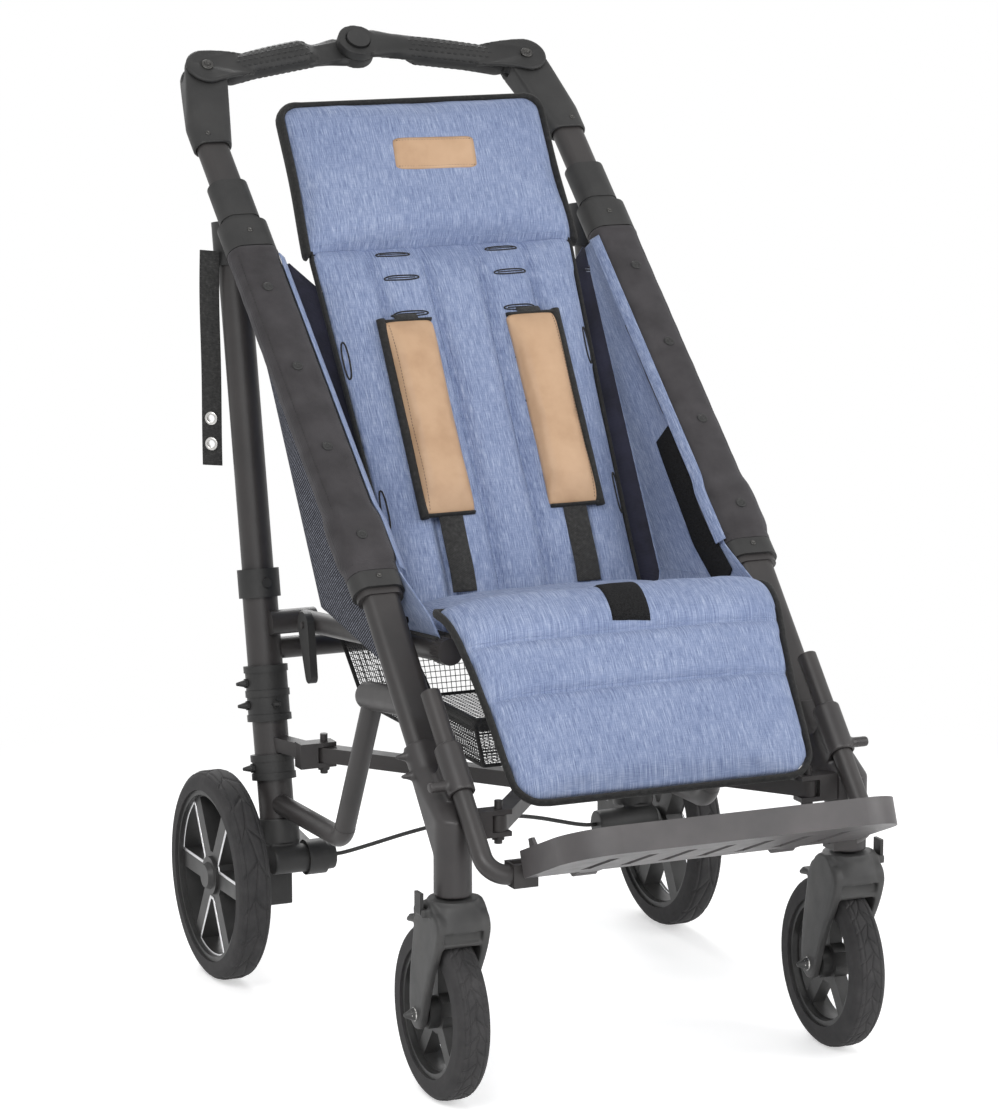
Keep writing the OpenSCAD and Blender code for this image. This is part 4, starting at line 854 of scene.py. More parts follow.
# the right half in millimetres from the middle out; the left half is its mirror
CABLE = [(0, 6, 187), (30, 8, 185), (60, 14, 180), (90, 24, 172), (115, 33, 164), (140, 42, 156), (160, 47, 151),
         (173.6, 48, 150)]
CABLE = [(-x, y, z) for x, y, z in CABLE[:0:-1]] + CABLE
cable_line = smooth_line([(x / 1000, y / 1000 - MID, z / 1000) for x, y, z in CABLE], 61)
brake_cable = swept("brake_cable_sheath", cable_line, oval(0.0025, 0.0025, 12), (0, 0, 1), PLASTIC)
rides(brake_cable, "left_frame", "cable", "brake_cable")
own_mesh(brake_cable)

# ---- cushions ----
def up_the_back(*along, off=0.0, middle=0.0):
    """A run that lies along the back, off its face."""
    return Run([back_at(a, off) for a in along], middle=middle)


# the back pad is tucked into the crease of the seat
TUCK = 0.022
head_run = up_the_back(0.446, 0.545, 0.6403)
back_run = up_the_back(-TUCK, 0.225, 0.452)
strap_run = up_the_back(0, 0.225, 0.45)
seat_run = Run([(-0.147, 0.4679), (-0.232, 0.478), (-0.326, 0.4894)], -1)


def rolled(p, corner, q, roll, n_roll, n):
    """From p round a corner, then straight to q."""
    p, corner, q = (np.asarray(a, float) for a in (p, corner, q))
    a = corner + (q - corner) * roll
    arc = [p * (1 - t) ** 2 + 2 * corner * t * (1 - t) + a * t * t for t in np.linspace(0, 1, n_roll, endpoint=False)]
    return np.array(arc + [a + (q - a) * t for t in np.linspace(0, 1, n)])


flap_run = Run(rolled((-0.314, 0.507), (-0.353, 0.522), (-0.5, 0.334), 0.2, 12, 16), -1)
# half widths at the low and high end, crown, edge, corner, how far the sides are drawn in, low corner
headrest = Pad("headrest_cushion", head_run, 0.174, 0.170, 0.034, 0.012, 0.020, 0.002, 0.002)
back_pad = Pad("back_cushion", back_run, 0.1515, 0.168, 0.031, 0.011, 0.004, 0.001)
seat_pad = Pad("seat_cushion", seat_run, 0.174, 0.180, 0.027, 0.010, 0.010)
calf_flap = Pad("calf_flap_cushion", flap_run, 0.206, 0.178, 0.021, 0.009, 0.030)
inflate([headrest, back_pad, seat_pad, calf_flap])
BACK_SEAMS = (-0.6, -0.2, 0.2, 0.6)
FLAP_SEAMS = (0.080, 0.145)
# seams across and along, their depth and width, ripple
press(headrest, (), (0.004,), 0.25, 0.014, 0.0006)
press(back_pad, BACK_SEAMS, (), 0.38, 0.010, 0.0005)
press(seat_pad, (), (), 0.2, 0.01, 0.0008)
press(calf_flap, (), FLAP_SEAMS, 0.34, 0.009, 0.0007)


# ---- trims sewn on the cushions ----
def amid(corners, s, t):
    """The point of a four-cornered field at the shares s and t of its sides."""
    a, b, c, d = np.array(corners)
    return (a * (1 - s) + b * s) * (1 - t) + (d * (1 - s) + c * s) * t


def rounded(s, t, k):
    """Moves a point of the unit square in where a corner of radius k is rounded off."""
    x, y = 2 * s - 1, 2 * t - 1
    ex, ey = abs(x) - 1 + k, abs(y) - 1 + k
    if ex > 0 and ey > 0:
        g = max(ex, ey) / max(math.hypot(ex, ey), 1e-9)
        x, y = math.copysign(1 - k + ex * g, x), math.copysign(1 - k + ey * g, y)
    return (x + 1) / 2, (y + 1) / 2


def patch_on(pad, name, corners, thick, finish, round_r=0.0, steps=14):
    """A thin panel lying on a pad's face between four (u, v) corners, given round its edge."""
    verts, uvs = [], []
    for i in range(steps + 1):
        for j in range(steps + 1):
            s, t = i / steps, j / steps
            if round_r:
                s, t = rounded(s, t, round_r)
            p = amid(corners, s, t)
            edge = min(s, 1 - s, t, 1 - t)
            verts.append(pad.top(p[0], p[1], thick * min(1, 0.35 + edge * steps * 0.65)))
            uvs.append(p)
    base = [(u, v, n - thick - 0.0015) for u, v, n in verts]
    return finished(name, pad.run.place(np.array(verts + base)), shell(steps, steps), finish, uvs=np.array(uvs + uvs))


def loop_line(u, v, wide, high, tilt=0.0, steps=48):
    """A long rounded loop, flat."""
    c, d = math.cos(tilt), math.sin(tilt)
    flat = [(squared(x, 0.85) * wide / 2, squared(y, 0.85) * high / 2) for x, y in circle(steps)]
    return [(u + x * c - y * d, v + x * d + y * c) for x, y in flat]


def seam_stitches(name, pad, lines, finish, sizes=SEAM_STITCH, off=0.0003):
    flat = [pad.on_top(line, off) for line in lines]
    laid = [(pad.run.place(line), pad.facing(line)) for line in flat]
    return set_out(name, STITCH, stitch_places(laid, *sizes), finish)


def dense(a, b, count=60):
    return [(a[0] + (b[0] - a[0]) * t, a[1] + (b[1] - a[1]) * t) for t in np.linspace(0, 1, count)]


trims, threads = [], []
# headrest: broad black binding on three sides, a bare tan patch, a stitched lower seam
trims.append(headrest.strip("head_binding", headrest.rim(0.0005, 0.75, "LTR"), oval(0.0048, 0.0105, 12), BINDING))
PATCH_CORNERS = ((-0.050, 0.092), (0.055, 0.090), (0.058, 0.131), (-0.046, 0.133))
tan_patch = patch_on(headrest, "head_patch", PATCH_CORNERS, 0.0014, TAN, round_r=0.22)
patch_rows = [dense((-0.047, 0.0955), (0.052, 0.0935)), dense((-0.043, 0.1295), (0.055, 0.1275))]
threads.append(seam_stitches("patch_stitches", headrest, patch_rows, THREAD, (0.0036, 0.0024, 0.0006), 0.0012))
head_row = dense((-0.166, 0.010), (0.166, 0.010), 90)
threads.append(seam_stitches("head_seam_stitches", headrest, [head_row], PALE_THREAD))

# back: piped sides, sewn channels, outlined harness slots
for end in "LR":
    trims.append(back_pad.strip("back_piping_" + end, back_pad.rim(-0.0005, 0.7, end), oval(0.0026, 0.0042), BINDING))
channels = [[(c * back_pad.half(v), v) for v in np.linspace(0.02, 0.462, 95)] for c in BACK_SEAMS]
threads.append(seam_stitches("channel_stitches", back_pad, channels, PALE_THREAD))
SLOT_OUT, SLOT_TILT, SLIT_HALF = 0.070, 0.03, 0.0165
SLOTS_AT = (0.459, 0.424, 0.376, 0.312, 0.256)
for s in (-1, 1):
    for v in SLOTS_AT:
        ring = back_pad.on_top(loop_line(s * SLOT_OUT, v, 0.042, 0.0062, s * SLOT_TILT), 0.0004)
        trims.append(back_pad.strip("slot_edge", ring, oval(0.0009, 0.0009, 8), BINDING, closed=True))
        slit = [(s * SLOT_OUT + t, v + s * SLOT_TILT * t) for t in np.linspace(-SLIT_HALF, SLIT_HALF, 16)]
        trims.append(back_pad.strip("slot_slit", back_pad.on_top(slit, -0.0004), oval(0.0013, 0.0006, 8), BINDING))
    # harness wings at the sides
    for v, size in ((0.33, 0.046), (0.14, 0.050)):
        ring = back_pad.on_top(loop_line(s * (back_pad.half(v) - 0.0075), v, 0.006, size), 0.0005)
        trims.append(back_pad.strip("wing_slot", ring, oval(0.0011, 0.0011, 8), BINDING, closed=True))

# calf flap: piping round the sides and foot, two double seams, a hook strip over the roll
trims.append(calf_flap.strip("flap_piping", calf_flap.rim(-0.0005, 0.7, "LTR", 60), oval(0.0036, 0.0052), BINDING))
flap_rows = []
for v in FLAP_SEAMS:
    h = calf_flap.outline(v) - 0.006
    flap_rows += [dense((-h, v + d), (h, v + d), 90) for d in (-0.0026, 0.0026)]
threads.append(seam_stitches("flap_stitches", calf_flap, flap_rows, PALE_THREAD))
HOOK_CORNERS = ((-0.010, 0.003), (0.038, 0.003), (0.028, 0.074), (-0.018, 0.071))
flap_hook = patch_on(calf_flap, "flap_hook_strip", HOOK_CORNERS, 0.0018, HOOK)

# ---- shoulder pads and harness webbing ----
SHOULDER_OUT, SHOULDER_OFF = 0.079, 0.0345


def shoulder(s):
    run = up_the_back(0.098, 0.225, 0.345, off=SHOULDER_OFF, middle=s * SHOULDER_OUT)
    return Pad("shoulder_cushion_" + SIDE[s], run, 0.0325, 0.0325, 0.0185, 0.0055, 0.006, 0.001)


shoulder_pads = {s: shoulder(s) for s in (-1, 1)}
inflate(list(shoulder_pads.values()), 0.003, 0.0034)
for s, pad in shoulder_pads.items():
    press(pad, (), (), 0.1, 0.01, 0.0003)
    h = pad.outline(0.1)
    outer = np.array([(s * (h + 0.0015), v, 0.0048) for v in np.linspace(-0.002, pad.length + 0.002, 40)])
    trims.append(pad.strip("shoulder_binding", outer, oval(0.0056, 0.0050, 12), BINDING))
    for v in (0.001, pad.length - 0.001):
        across = np.array([(u, v, 0.0045) for u in np.linspace(-h * 0.96, h * 0.96, 18)])
        trims.append(pad.strip("shoulder_hem", across, oval(0.0022, 0.0046, 10), BINDING))
    row = dense((s * (h - 0.0055), 0.006), (s * (h - 0.0055), pad.length - 0.006), 50)
    threads.append(seam_stitches("shoulder_stitches", pad, [row], THREAD, (0.004, 0.0027, 0.0006)))

# (along the back, off it) below and above the shoulder pads
STRAP_LOW = ((0.128, 0.0395), (0.110, 0.0390), (0.085, 0.0372), (0.060, 0.0362), (0.030, 0.0352), (0.006, 0.031))
STRAP_HIGH = ((0.336, 0.0405), (0.349, 0.0385), (0.3535, 0.0345), (0.355, 0.029))
straps = []
for s in (-1, 1):
    for name, spots, count in (("harness_low", STRAP_LOW, 40), ("harness_high", STRAP_HIGH, 16)):
        line = smooth_line([(s * SHOULDER_OUT, v, n) for v, n in spots], count)
        verts, faces = sweep(line, slab(0.0150, 0.0022), (0, 0, 1))
        straps.append(finished(name, strap_run.place(verts), faces, WEBBING))
gathers(joined("harness_webbing", straps), "webbing", "harness_straps")

for pad, node in ((headrest, "headrest"), (back_pad, "back_pad"), (seat_pad, "seat_pad"), (calf_flap, "calf_flap")):
    gathers(lay(pad, DENIM), "denim", node, pad_fill=0.7)
for s, pad in shoulder_pads.items():
    gathers(lay(pad, TAN), "tan_leather", "shoulder_pad_" + SIDE[s], pad_fill=0.8)
gathers(joined("cushion_bindings", trims), "webbing")
gathers(joined("cushion_threads", threads), "webbing")
gathers(tan_patch, "tan_leather")
gathers(flap_hook, "webbing")


# ---- side panels: blue cloth inside, ribbed mesh outside, black sleeves round the front tubes ----
RAKE = math.radians(41.4)
KNEE = np.array([-0.250, 0.520])
TUBE_OUT, LINING_OUT, MESH_OUT = 0.234, 0.2027, 0.2440
UP_TUBE = Vector((0, math.cos(RAKE), math.sin(RAKE)))
FACE = Vector((0, -math.sin(RAKE), math.cos(RAKE)))
BACK_FACE = np.array([0, -math.sin(LEAN), math.cos(LEAN)])
# the wall follows the tube for most of its length; the lining then runs on to the front of the seat
WALL_TOP, WALL_DROP, TUBE_SHARE = 0.505, 0.475, 0.8
TO_SEAT_FRONT = np.array([0, -0.0905, -0.0358])


def by_tube(along, up):
    """The side view by the front tube: along it from the knee, up off its face."""
    c, d = math.cos(RAKE), math.sin(RAKE)
    return KNEE[0] + along * c - up * d, KNEE[1] + along * d + up * c


def on_tube(s, along, aside, up):
    """A point by the front tube of a side, aside across X."""
    y, z = by_tube(along, up)
    return np.stack(np.broadcast_arrays(s * (TUBE_OUT + aside), y - MID, z), -1)


def wall_point(s, p, q, off=0.0, outer=False):
    """A point of the side wall and its facing: p from the top down to the front, q from the tube to the rear.

    Past 1, p hangs below the seat and q turns in behind the back pad.
    """
    under, p = max(0, p - 1), min(p, 1)
    k = WALL_TOP - WALL_DROP * (p / TUBE_SHARE if outer else min(p / TUBE_SHARE, 1))
    x, up = (MESH_OUT, -0.010) if outer else (0.2035, 0.009)
    tube = np.array([x, *by_tube(k, up)])
    if not outer:
        tube = tube + TO_SEAT_FRONT * max(0, (p - TUBE_SHARE) / (1 - TUBE_SHARE))
    x, back = (0.2410, -0.016) if outer else (0.1965, -0.012)
    high = 0.445 - 0.425 * p
    turn = np.array([x - 0.004 * p, *back_at(high, back)])
    tucked = 0.1400 - 0.014 * p
    behind = np.array([tucked + (x - tucked) * max(0, 0.9 - p / 0.16), *back_at(high, back / 2)])
    a = tube * (1 - q) + turn * q if q < 1 else turn + (behind - turn) * (q - 1) / 0.25
    n = np.cross(turn - tube, np.array([0, -0.75, -0.66]))
    n /= np.linalg.norm(n)
    if n @ np.array([-0.6, -0.6, 0.5]) < 0:
        n = -n
    rear = min(max((q - 0.9) / 0.15, 0), 1)
    n = n * (1 - rear) + BACK_FACE * rear
    n /= np.linalg.norm(n)
    sag = math.sin(math.pi * p) * math.sin(math.pi * min(q, 1))
    fold = 0.0022 * math.sin(9 * p + 4 * q) * sag + 0.0012 * math.sin(17 * p - 6 * q) * sag
    a = a + n * (off + fold - 0.004 * sag) + np.array([-0.10, 0, -0.24]) * under
    return np.array([s * a[0], a[1] - MID, a[2]]), np.array([s * n[0], n[1], n[2]])


def wall_sheet(name, s, off, thick, finish, rear, outer=False, steps=40):
    """The wall as a thin sheet, with the finish rear where it turns in behind the back pad."""
    front, back, uvs = [], [], []
    across = list(np.linspace(0, 1, steps - 3)) + [1.06, 1.12, 1.18, 1.25]
    for i in range(steps + 1):
        for q in across:
            p, n = wall_point(s, (1.0 if outer else 1.1) * i / steps, q, off, outer)
            front.append(p + n * thick / 2)
            back.append(p - n * thick / 2)
            uvs.append((0.085 * q * (0.5 + i / steps), -0.48 * i / steps))
    wall = finished(name, front + back, shell(steps, steps), finish, uvs=np.array(uvs + uvs))
    wall.data.materials.append(rear)
    flat = steps * steps
    for f, polygon in enumerate(wall.data.polygons[:2 * flat]):
        polygon.material_index = int(across[f % flat % steps + 1] > 1)
    return wall


def wall_line(s, points, off):
    laid = [wall_point(s, p, q, off) for p, q in points]
    return np.array([a for a, _ in laid]), np.array([b for _, b in laid])


def fuller(a):
    """1 along the fuller lower end of a sleeve, 0 above it."""
    return 0.5 - 0.5 * np.tanh((a - 0.118) / 0.010)


def swell(a):
    return 0.0042 * fuller(a) * (0.5 + 0.5 * np.tanh((a - 0.046) / 0.006))


def tube_sleeve(name, s):
    """Pack cloth wrapped on the flat-oval tube: soft wrinkles, rolled hems and a fuller lower end."""
    foot, head = [0.0312, 0.0316, 0.034, 0.037, 0.039], [0.509, 0.512, 0.515, 0.5166, 0.517]
    lengths = np.concatenate([foot, np.linspace(0.042, 0.506, 92), head])
    sides, straight, r = 44, 0.0130, 0.01750
    outer, inner = [], []
    for a in lengths:
        hem = 0.0009 * (math.exp(-((a - 0.036) / 0.004) ** 2) + math.exp(-((a - 0.513) / 0.004) ** 2))
        for k, (c, d) in enumerate(circle(sides)):
            t = 2 * math.pi * k / sides
            fold = 0.00025 * math.sin(a * 92 + 3 * c) * math.sin(2 * t + a * 31) + 0.00012 * math.sin(a * 211 + 2.2 * t)
            for store, grow in ((outer, hem + swell(a) + fold), (inner, -0.0024)):
                x = math.copysign(straight, c) * min(1, abs(c) * 3) + (r + grow) * c
                store.append(on_tube(s, a, x * s, (r + grow * (1.0 if d > 0 else 0.6)) * d))
    tube = looped(len(lengths), sides)[:-sides]
    layer, last = len(outer), len(outer) - sides
    faces = tube + [tuple(layer + v for v in f[::-1]) for f in tube]
    for k in range(sides):
        q = (k + 1) % sides
        faces += [(k, layer + k, layer + q, q), (last + q, layer + last + q, layer + last + k, last + k)]
    return finished(name, outer + inner, faces, SLEEVE)


SNAP = turned([(0.0060, 0), (0.0064, 0.0006), (0.0060, 0.0014), (0.0042, 0.0017), (0.0039, 0.0011), (0.0017, 0.0012),
               (0.0012, 0.0016), (0.0004, 0.0016)], 18)
SNAP_AT = (0.078, 0.210, 0.330, 0.452)
WALL_LENGTH, WALL_ALLOWANCE, WALL_KEEP = 0.45, 1.6, 0.28


def wall_trim(s):
    """Edge, slot, hook strip, denim facing by the sleeve and stitches of a side wall."""
    def along_wall(name, points, off, profile, finish, closed=False):
        line, up = wall_line(s, points, off)
        return swept(name, line, profile, up, finish, closed)

    edge = [(1.1, t) for t in np.linspace(0, 1.2, 40)]
    slot = [(0.28 + 0.045 * c, 0.14 - 0.05 * c + 0.028 * d) for c, d in circle(32)]
    hook = [(0.53 + 0.46 * t, 0.290 + 0.01 * t) for t in np.linspace(0, 1, 46)]
    bits = [along_wall("wall_edge", edge, -0.001, oval(0.0030, 0.0030), BINDING),
            along_wall("wall_slot", slot, 0.0012, oval(0.0009, 0.0009, 8), BINDING, closed=True),
            along_wall("wall_hook_strip", hook, 0.0022, slab(0.0205, 0.0018), HOOK)]
    a = np.linspace(0.505, 0.034, 90)
    line = on_tube(s, a, -0.0308 - 0.0040 * fuller(a), 0.0105)
    verts, faces = sweep(line, slab(0.0068, 0.0016), Vector((-s * 0.72, 0, 0)) + FACE * 0.7)
    round_it = [0, 0.001, 0.002, 0.012, 0.013, 0.014, 0.015, 0.016]
    flat = np.stack([np.tile(round_it, len(a)), np.repeat(a, len(round_it))], 1)
    bits.append(finished("wall_facing", verts, faces, DENIM, uvs=flat))
    rows = [wall_line(s, [(p, 0.06) for p in np.linspace(0.02, 0.98, 90)], 0.0010),
            wall_line(s, [(0.975, q) for q in np.linspace(0.03, 0.97, 40)], 0.0010)]
    bits.append(set_out("wall_stitches_" + SIDE[s], STITCH, stitch_places(rows, *SEAM_STITCH), PALE_THREAD))
    return joined("side_wall_trim_" + SIDE[s], bits)


def side_wall(s):
    side = SIDE[s]
    body, node, tube = side + "_frame", "side_panel_" + side, "front_tube_" + side
    # where the wall turns in behind the back pad it takes the lining, whose dark colour is partly painted shade for
    # that recess
    inside = wall_sheet("side_wall_" + side, s, 0.0, 0.0014, DENIM, LINING_WITH_PAINTED_SHADE)
    outside = wall_sheet("side_wall_mesh_" + side, s, -0.0021, 0.0014, SIDE_MESH, SIDE_MESH, True)
    trim = wall_trim(s)
    sleeve = tube_sleeve("tube_sleeve_" + side, s)
    snap_places = [(on_tube(s, a, 0.004, 0.0174 + (0.0042 if a < 0.1 else 0)), FACE, ACROSS, TRUE_SIZE)
                   for a in SNAP_AT]
    snaps = set_out("sleeve_snaps_" + side, SNAP, snap_places, PLASTIC)
    a = np.linspace(0.040, 0.508, 120)
    seams = [(on_tube(s, a, aside, (0.0176 + swell(a)) * 0.77), FACE) for aside in (-0.0245, 0.0245)]
    sewn = set_out("sleeve_stitches_" + side, STITCH, stitch_places(seams, 0.0045, 0.003, 0.0008), THREAD)
    lining_edge = (s * LINING_OUT, 0, 0.5)
    gathers(inside, "denim", node, keep=WALL_KEEP, anchor=lining_edge, body=body)
    gathers(outside, "mesh", keep=WALL_KEEP, anchor=(s * MESH_OUT, 0, 0.5), body=body)
    gathers(trim, "webbing", keep=WALL_KEEP, anchor=lining_edge, body=body)
    rides(sleeve, body, "webbing", node)
    rides(snaps, body, "black_plastic")
    rides(sewn, body, "webbing")


for s in (-1, 1):
    side_wall(s)


# ---- basket of black net with a bound rim ----
def net_tree():
    """Draws every edge of a net as a fine round thread."""
    tree, start = node_group("knot_net", Radius="Float", Finish="Material")
    lines = wired(tree, "GeometryNodeMeshToCurve", {"Mesh": start["Geometry"]})
    ring = wired(tree, "GeometryNodeCurvePrimitiveCircle", {"Resolution": 3, "Radius": start["Radius"]})
    thread = wired(tree, "GeometryNodeCurveToMesh", {
        "Curve": lines.outputs["Curve"], "Profile Curve": ring.outputs["Curve"]})
    return close_group(tree, start, thread.outputs["Mesh"])


BASKET_LOW, BASKET_RIM, BASKET_HIGH = 0.3425, 0.3925, 0.4335
BASKET_FRONT, BASKET_BACK = -0.360, 0.024
BASKET_FOOT, BASKET_TOP = 0.1495, 0.1755


def basket_point(p, q):
    """p round the basket from 0 to 4 (front, right, back, left), q from its rim to its foot."""
    side, t = int(p) % 4, p - int(p)
    corner = [(-1, 0), (1, 0), (1, 1), (-1, 1)]
    a, b = corner[side], corner[(side + 1) % 4]
    x, y = a[0] + (b[0] - a[0]) * t, a[1] + (b[1] - a[1]) * t
    rim = BASKET_RIM + (BASKET_HIGH - BASKET_RIM) * min(max(0, (y - 0.35) / 0.06), 1)
    z = rim + (BASKET_LOW - rim) * q
    share = (z - BASKET_LOW) / (BASKET_HIGH - BASKET_LOW)
    half = BASKET_FOOT + (BASKET_TOP - BASKET_FOOT) * share
    front, back = BASKET_FRONT + 0.018 * (1 - share), BASKET_BACK - 0.018 * (1 - share)
    hollow = 0.004 * math.sin(math.pi * q) * math.sin(math.pi * t)
    cx, cy = half * x, front + (back - front) * y
    if side in (0, 2):
        cy += hollow if side == 0 else -hollow
    else:
        cx -= hollow if x > 0 else -hollow
    return (cx, cy - MID, z)


def net_edges(first, rows, columns, closed):
    """Edges of a net of rows by columns points; closed joins the last row to the first."""
    edges = []
    for i in range(rows):
        for j in range(columns):
            here = first + i * columns + j
            if closed or i < rows - 1:
                edges.append((here, first + (i + 1) % rows * columns + j))
            if j < columns - 1:
                edges.append((here, here + 1))
    return edges


def basket():
    pitch = 0.0066
    drops, nx, ny = (int(length / pitch) for length in (0.091, 0.30, 0.35))
    rounds = []
    for side, length in enumerate((0.33, 0.37, 0.33, 0.37)):
        k = int(length / pitch)
        rounds += [side + i / k for i in range(k)]
    walls = [basket_point(p, j / drops) for p in rounds for j in range(drops + 1)]
    floor = [(-BASKET_FOOT + 2 * BASKET_FOOT * i / nx, -0.342 + 0.348 * j / ny - MID, BASKET_LOW)
             for i in range(nx + 1) for j in range(ny + 1)]
    edges = net_edges(0, len(rounds), drops + 1, True) + net_edges(len(walls), nx + 1, ny + 1, False)
    mesh = bpy.data.meshes.new("basket_net")
    mesh.from_pydata(walls + floor, edges, [])
    net = made_by(added("basket_net", mesh), net_tree(), Radius=0.00055, Finish=BINDING)
    rim, foot = (np.array([basket_point(p, q) for p in rounds]) for q in (0.0, 1.0))
    bits = [swept("basket_rim", rim, slab(0.0016, 0.014), (0, 0, 1), WEBBING, closed=True),
            swept("basket_foot", foot, oval(0.0022, 0.0022, 8), (0, 0, 1), BINDING, closed=True)]
    for corner in range(4):
        line = np.array([basket_point(corner + 1e-6, q) for q in np.linspace(0, 1, 16)])
        bits.append(swept("basket_corner", line, oval(0.0024, 0.0024, 8), (0, 1, 0), BINDING))
    gathers(net, "mesh", "basket")
    gathers(joined("basket_binding", bits), "webbing")


basket()


# ---- strap hanging at the left rear tube, with two metal eyelets ----
STRAP_FACE = (-0.66, -0.75, 0.0)
STRAP_X, STRAP_Y, STRAP_TOP, STRAP_END = -0.2655, 0.196, 0.862, 0.6045
EYELETS_AT = (0.630, 0.660)


def punched(obj, cutter):
    """Cuts one shape out of another and drops it."""
    cut = obj.modifiers.new("punch", "BOOLEAN")
    cut.operation, cut.object, cut.solver = "DIFFERENCE", cutter, "EXACT"
    settled(obj)
    bpy.data.objects.remove(cutter)


def hanging_strap():
    n = 60
    zs = np.linspace(STRAP_TOP, STRAP_END, n)
    line = np.array([(STRAP_X - 0.0005 * math.sin(9 * k / n), STRAP_Y - MID + 0.002 * math.sin(5 * k / n), z)
                     for k, z in enumerate(zs)])
    strap = swept("adjuster_webbing", line, slab(0.0125, 0.0022), STRAP_FACE, WEBBING)
    places = [(line[np.abs(zs - z).argmin()], STRAP_FACE, (0, 0, 1), TRUE_SIZE) for z in EYELETS_AT]
    punched(strap, set_out("eyelet_punch", turned([(0.0048, -0.01), (0.0048, 0.01)], 24), places, NICKEL))
    half = [(0.0046, -0.0026), (0.0062, -0.0033), (0.0078, -0.0028), (0.0083, -0.0018)]
    ring = half + [(r, -z) for r, z in half[::-1]]
    sides = 24
    verts = [(r * c, r * d, z) for c, d in circle(sides) for r, z in ring]
    eyelets = outward(set_out("strap_eyelets", (verts, looped(sides, len(ring))), places, NICKEL))
    rides(strap, "left_frame", "webbing", "adjuster_strap")
    rides(eyelets, "left_frame", "webbing")


hanging_strap()


# ---- tread, trims and fasteners on the rigid pieces ----
def fitted(name, body, fitting, places, finish, slot):
    rides(set_out(name, fitting, places, finish), body, slot)


def wheel_centre(node):
    low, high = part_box(node)
    return (low + high) / 2


def tread_plates(node, count, zigzag, reach, slant, shoulder):
    """Low plates round a tyre, fine grooves between them: two rows parted by a zigzag line, and their shoulders."""
    tree, mid = face_tree(nodes[node].data), wheel_centre(node)
    groove, verts, faces = 0.0006, [], []
    step, shrink = 2 * math.pi / count, groove / 0.1
    lean = slant * step

    def plate(corners, nu, nv):
        first = len(verts)
        for top in (True, False):
            for i in range(nu + 1):
                for j in range(nv + 1):
                    turn, aside = amid(corners, i / nu, j / nv)
                    out = Vector((0, math.cos(turn), math.sin(turn)))
                    spot, face, _, _ = tree.ray_cast(mid + Vector((aside, 0, 0)) + out * 0.2, -out)
                    edge = i in (0, nu) or j in (0, nv)
                    up = (0.0002 if edge else 0.0006) if top else -0.0008
                    verts.append(spot + (out * 0.5 + face * 0.5) * up)
        faces.extend(tuple(first + v for v in f) for f in shell(nu, nv))

    for k in (-1, 1):
        for i in range(count):
            a0, a1 = i * step + shrink, (i + 1) * step - shrink
            z = zigzag * (-1) ** i
            plate([(a0, z + k * groove), (a1, -z + k * groove), (a1 + lean, k * reach), (a0 + lean, k * reach)], 7, 5)
            plate([(a0 + lean, k * (reach + 2 * groove)), (a1 + lean, k * (reach + 2 * groove)),
                   (a1 + lean * 1.3, k * shoulder), (a0 + lean * 1.3, k * shoulder)], 7, 3)
    return verts, faces


# plates round the tyre, zigzag, reach of the plates, slant, reach of the shoulders
TREADS = {"rear": (18, 0.0038, 0.0112, 0.35, 0.0162), "front": (36, 0.0022, 0.0085, 0.55, 0.0140)}
for side in SIDE.values():
    for end, tread in TREADS.items():
        verts, faces = tread_plates(end + "_tyre_" + side, *tread)
        rides(finished(end + "_tread_" + side, verts, faces, RUBBER), end + "_wheel_" + side, "tyre")


def opening_angles(node, radius):
    """The middles of the openings through a rim, found by looking through it."""
    tree, mid = face_tree(nodes[node].data), wheel_centre(node)
    through = []
    for k in range(360):
        a = math.radians(k)
        start = mid + Vector((0.2, radius * math.cos(a), radius * math.sin(a)))
        through.append(tree.ray_cast(start, Vector((-1, 0, 0)), 0.4)[0] is None)
    middles = []
    for k in range(360):
        if through[k] and not through[k - 1]:
            wide = next(n for n in range(360) if not through[(k + n) % 360])
            middles.append(math.radians(k + wide / 2))
    return middles


RIM_FACE, RIM_LINE_OUT = 0.296, 0.0112


def rim_outline(s):
    """Silver lines round every other opening of a rear rim, on its outer face."""
    node = "rear_rim_" + SIDE[s]
    mid, bits = wheel_centre(node), []
    x = s * (RIM_FACE + RIM_LINE_OUT)
    r_in, r_out, spoke_half = 0.0275, 0.0962, 0.0098

    def half_angle(r):
        return math.radians(30) - math.asin(spoke_half / r)

    wide, slim = half_angle(r_out), half_angle(r_in)
    inward = np.linspace(r_out, r_in, 20)[1:-1]
    loop = [(r_out, t) for t in np.linspace(-wide, wide, 26)] + [(r, half_angle(r)) for r in inward]
    loop += [(r_in, t) for t in np.linspace(slim, -slim, 8)] + [(r, -half_angle(r)) for r in inward[::-1]]
    for middle in opening_angles(node, 0.075)[::2]:
        line = [(x, mid.y + r * math.cos(middle + t), mid.z + r * math.sin(middle + t)) for r, t in loop]
        bits.append(swept("rim_line", line, slab(0.0019, 0.0012), (s, 0, 0), SILVER, closed=True))
    rides(joined("rim_lines_" + SIDE[s], bits), "rear_wheel_" + SIDE[s], "rim_plastic")


for s in (-1, 1):
    rim_outline(s)

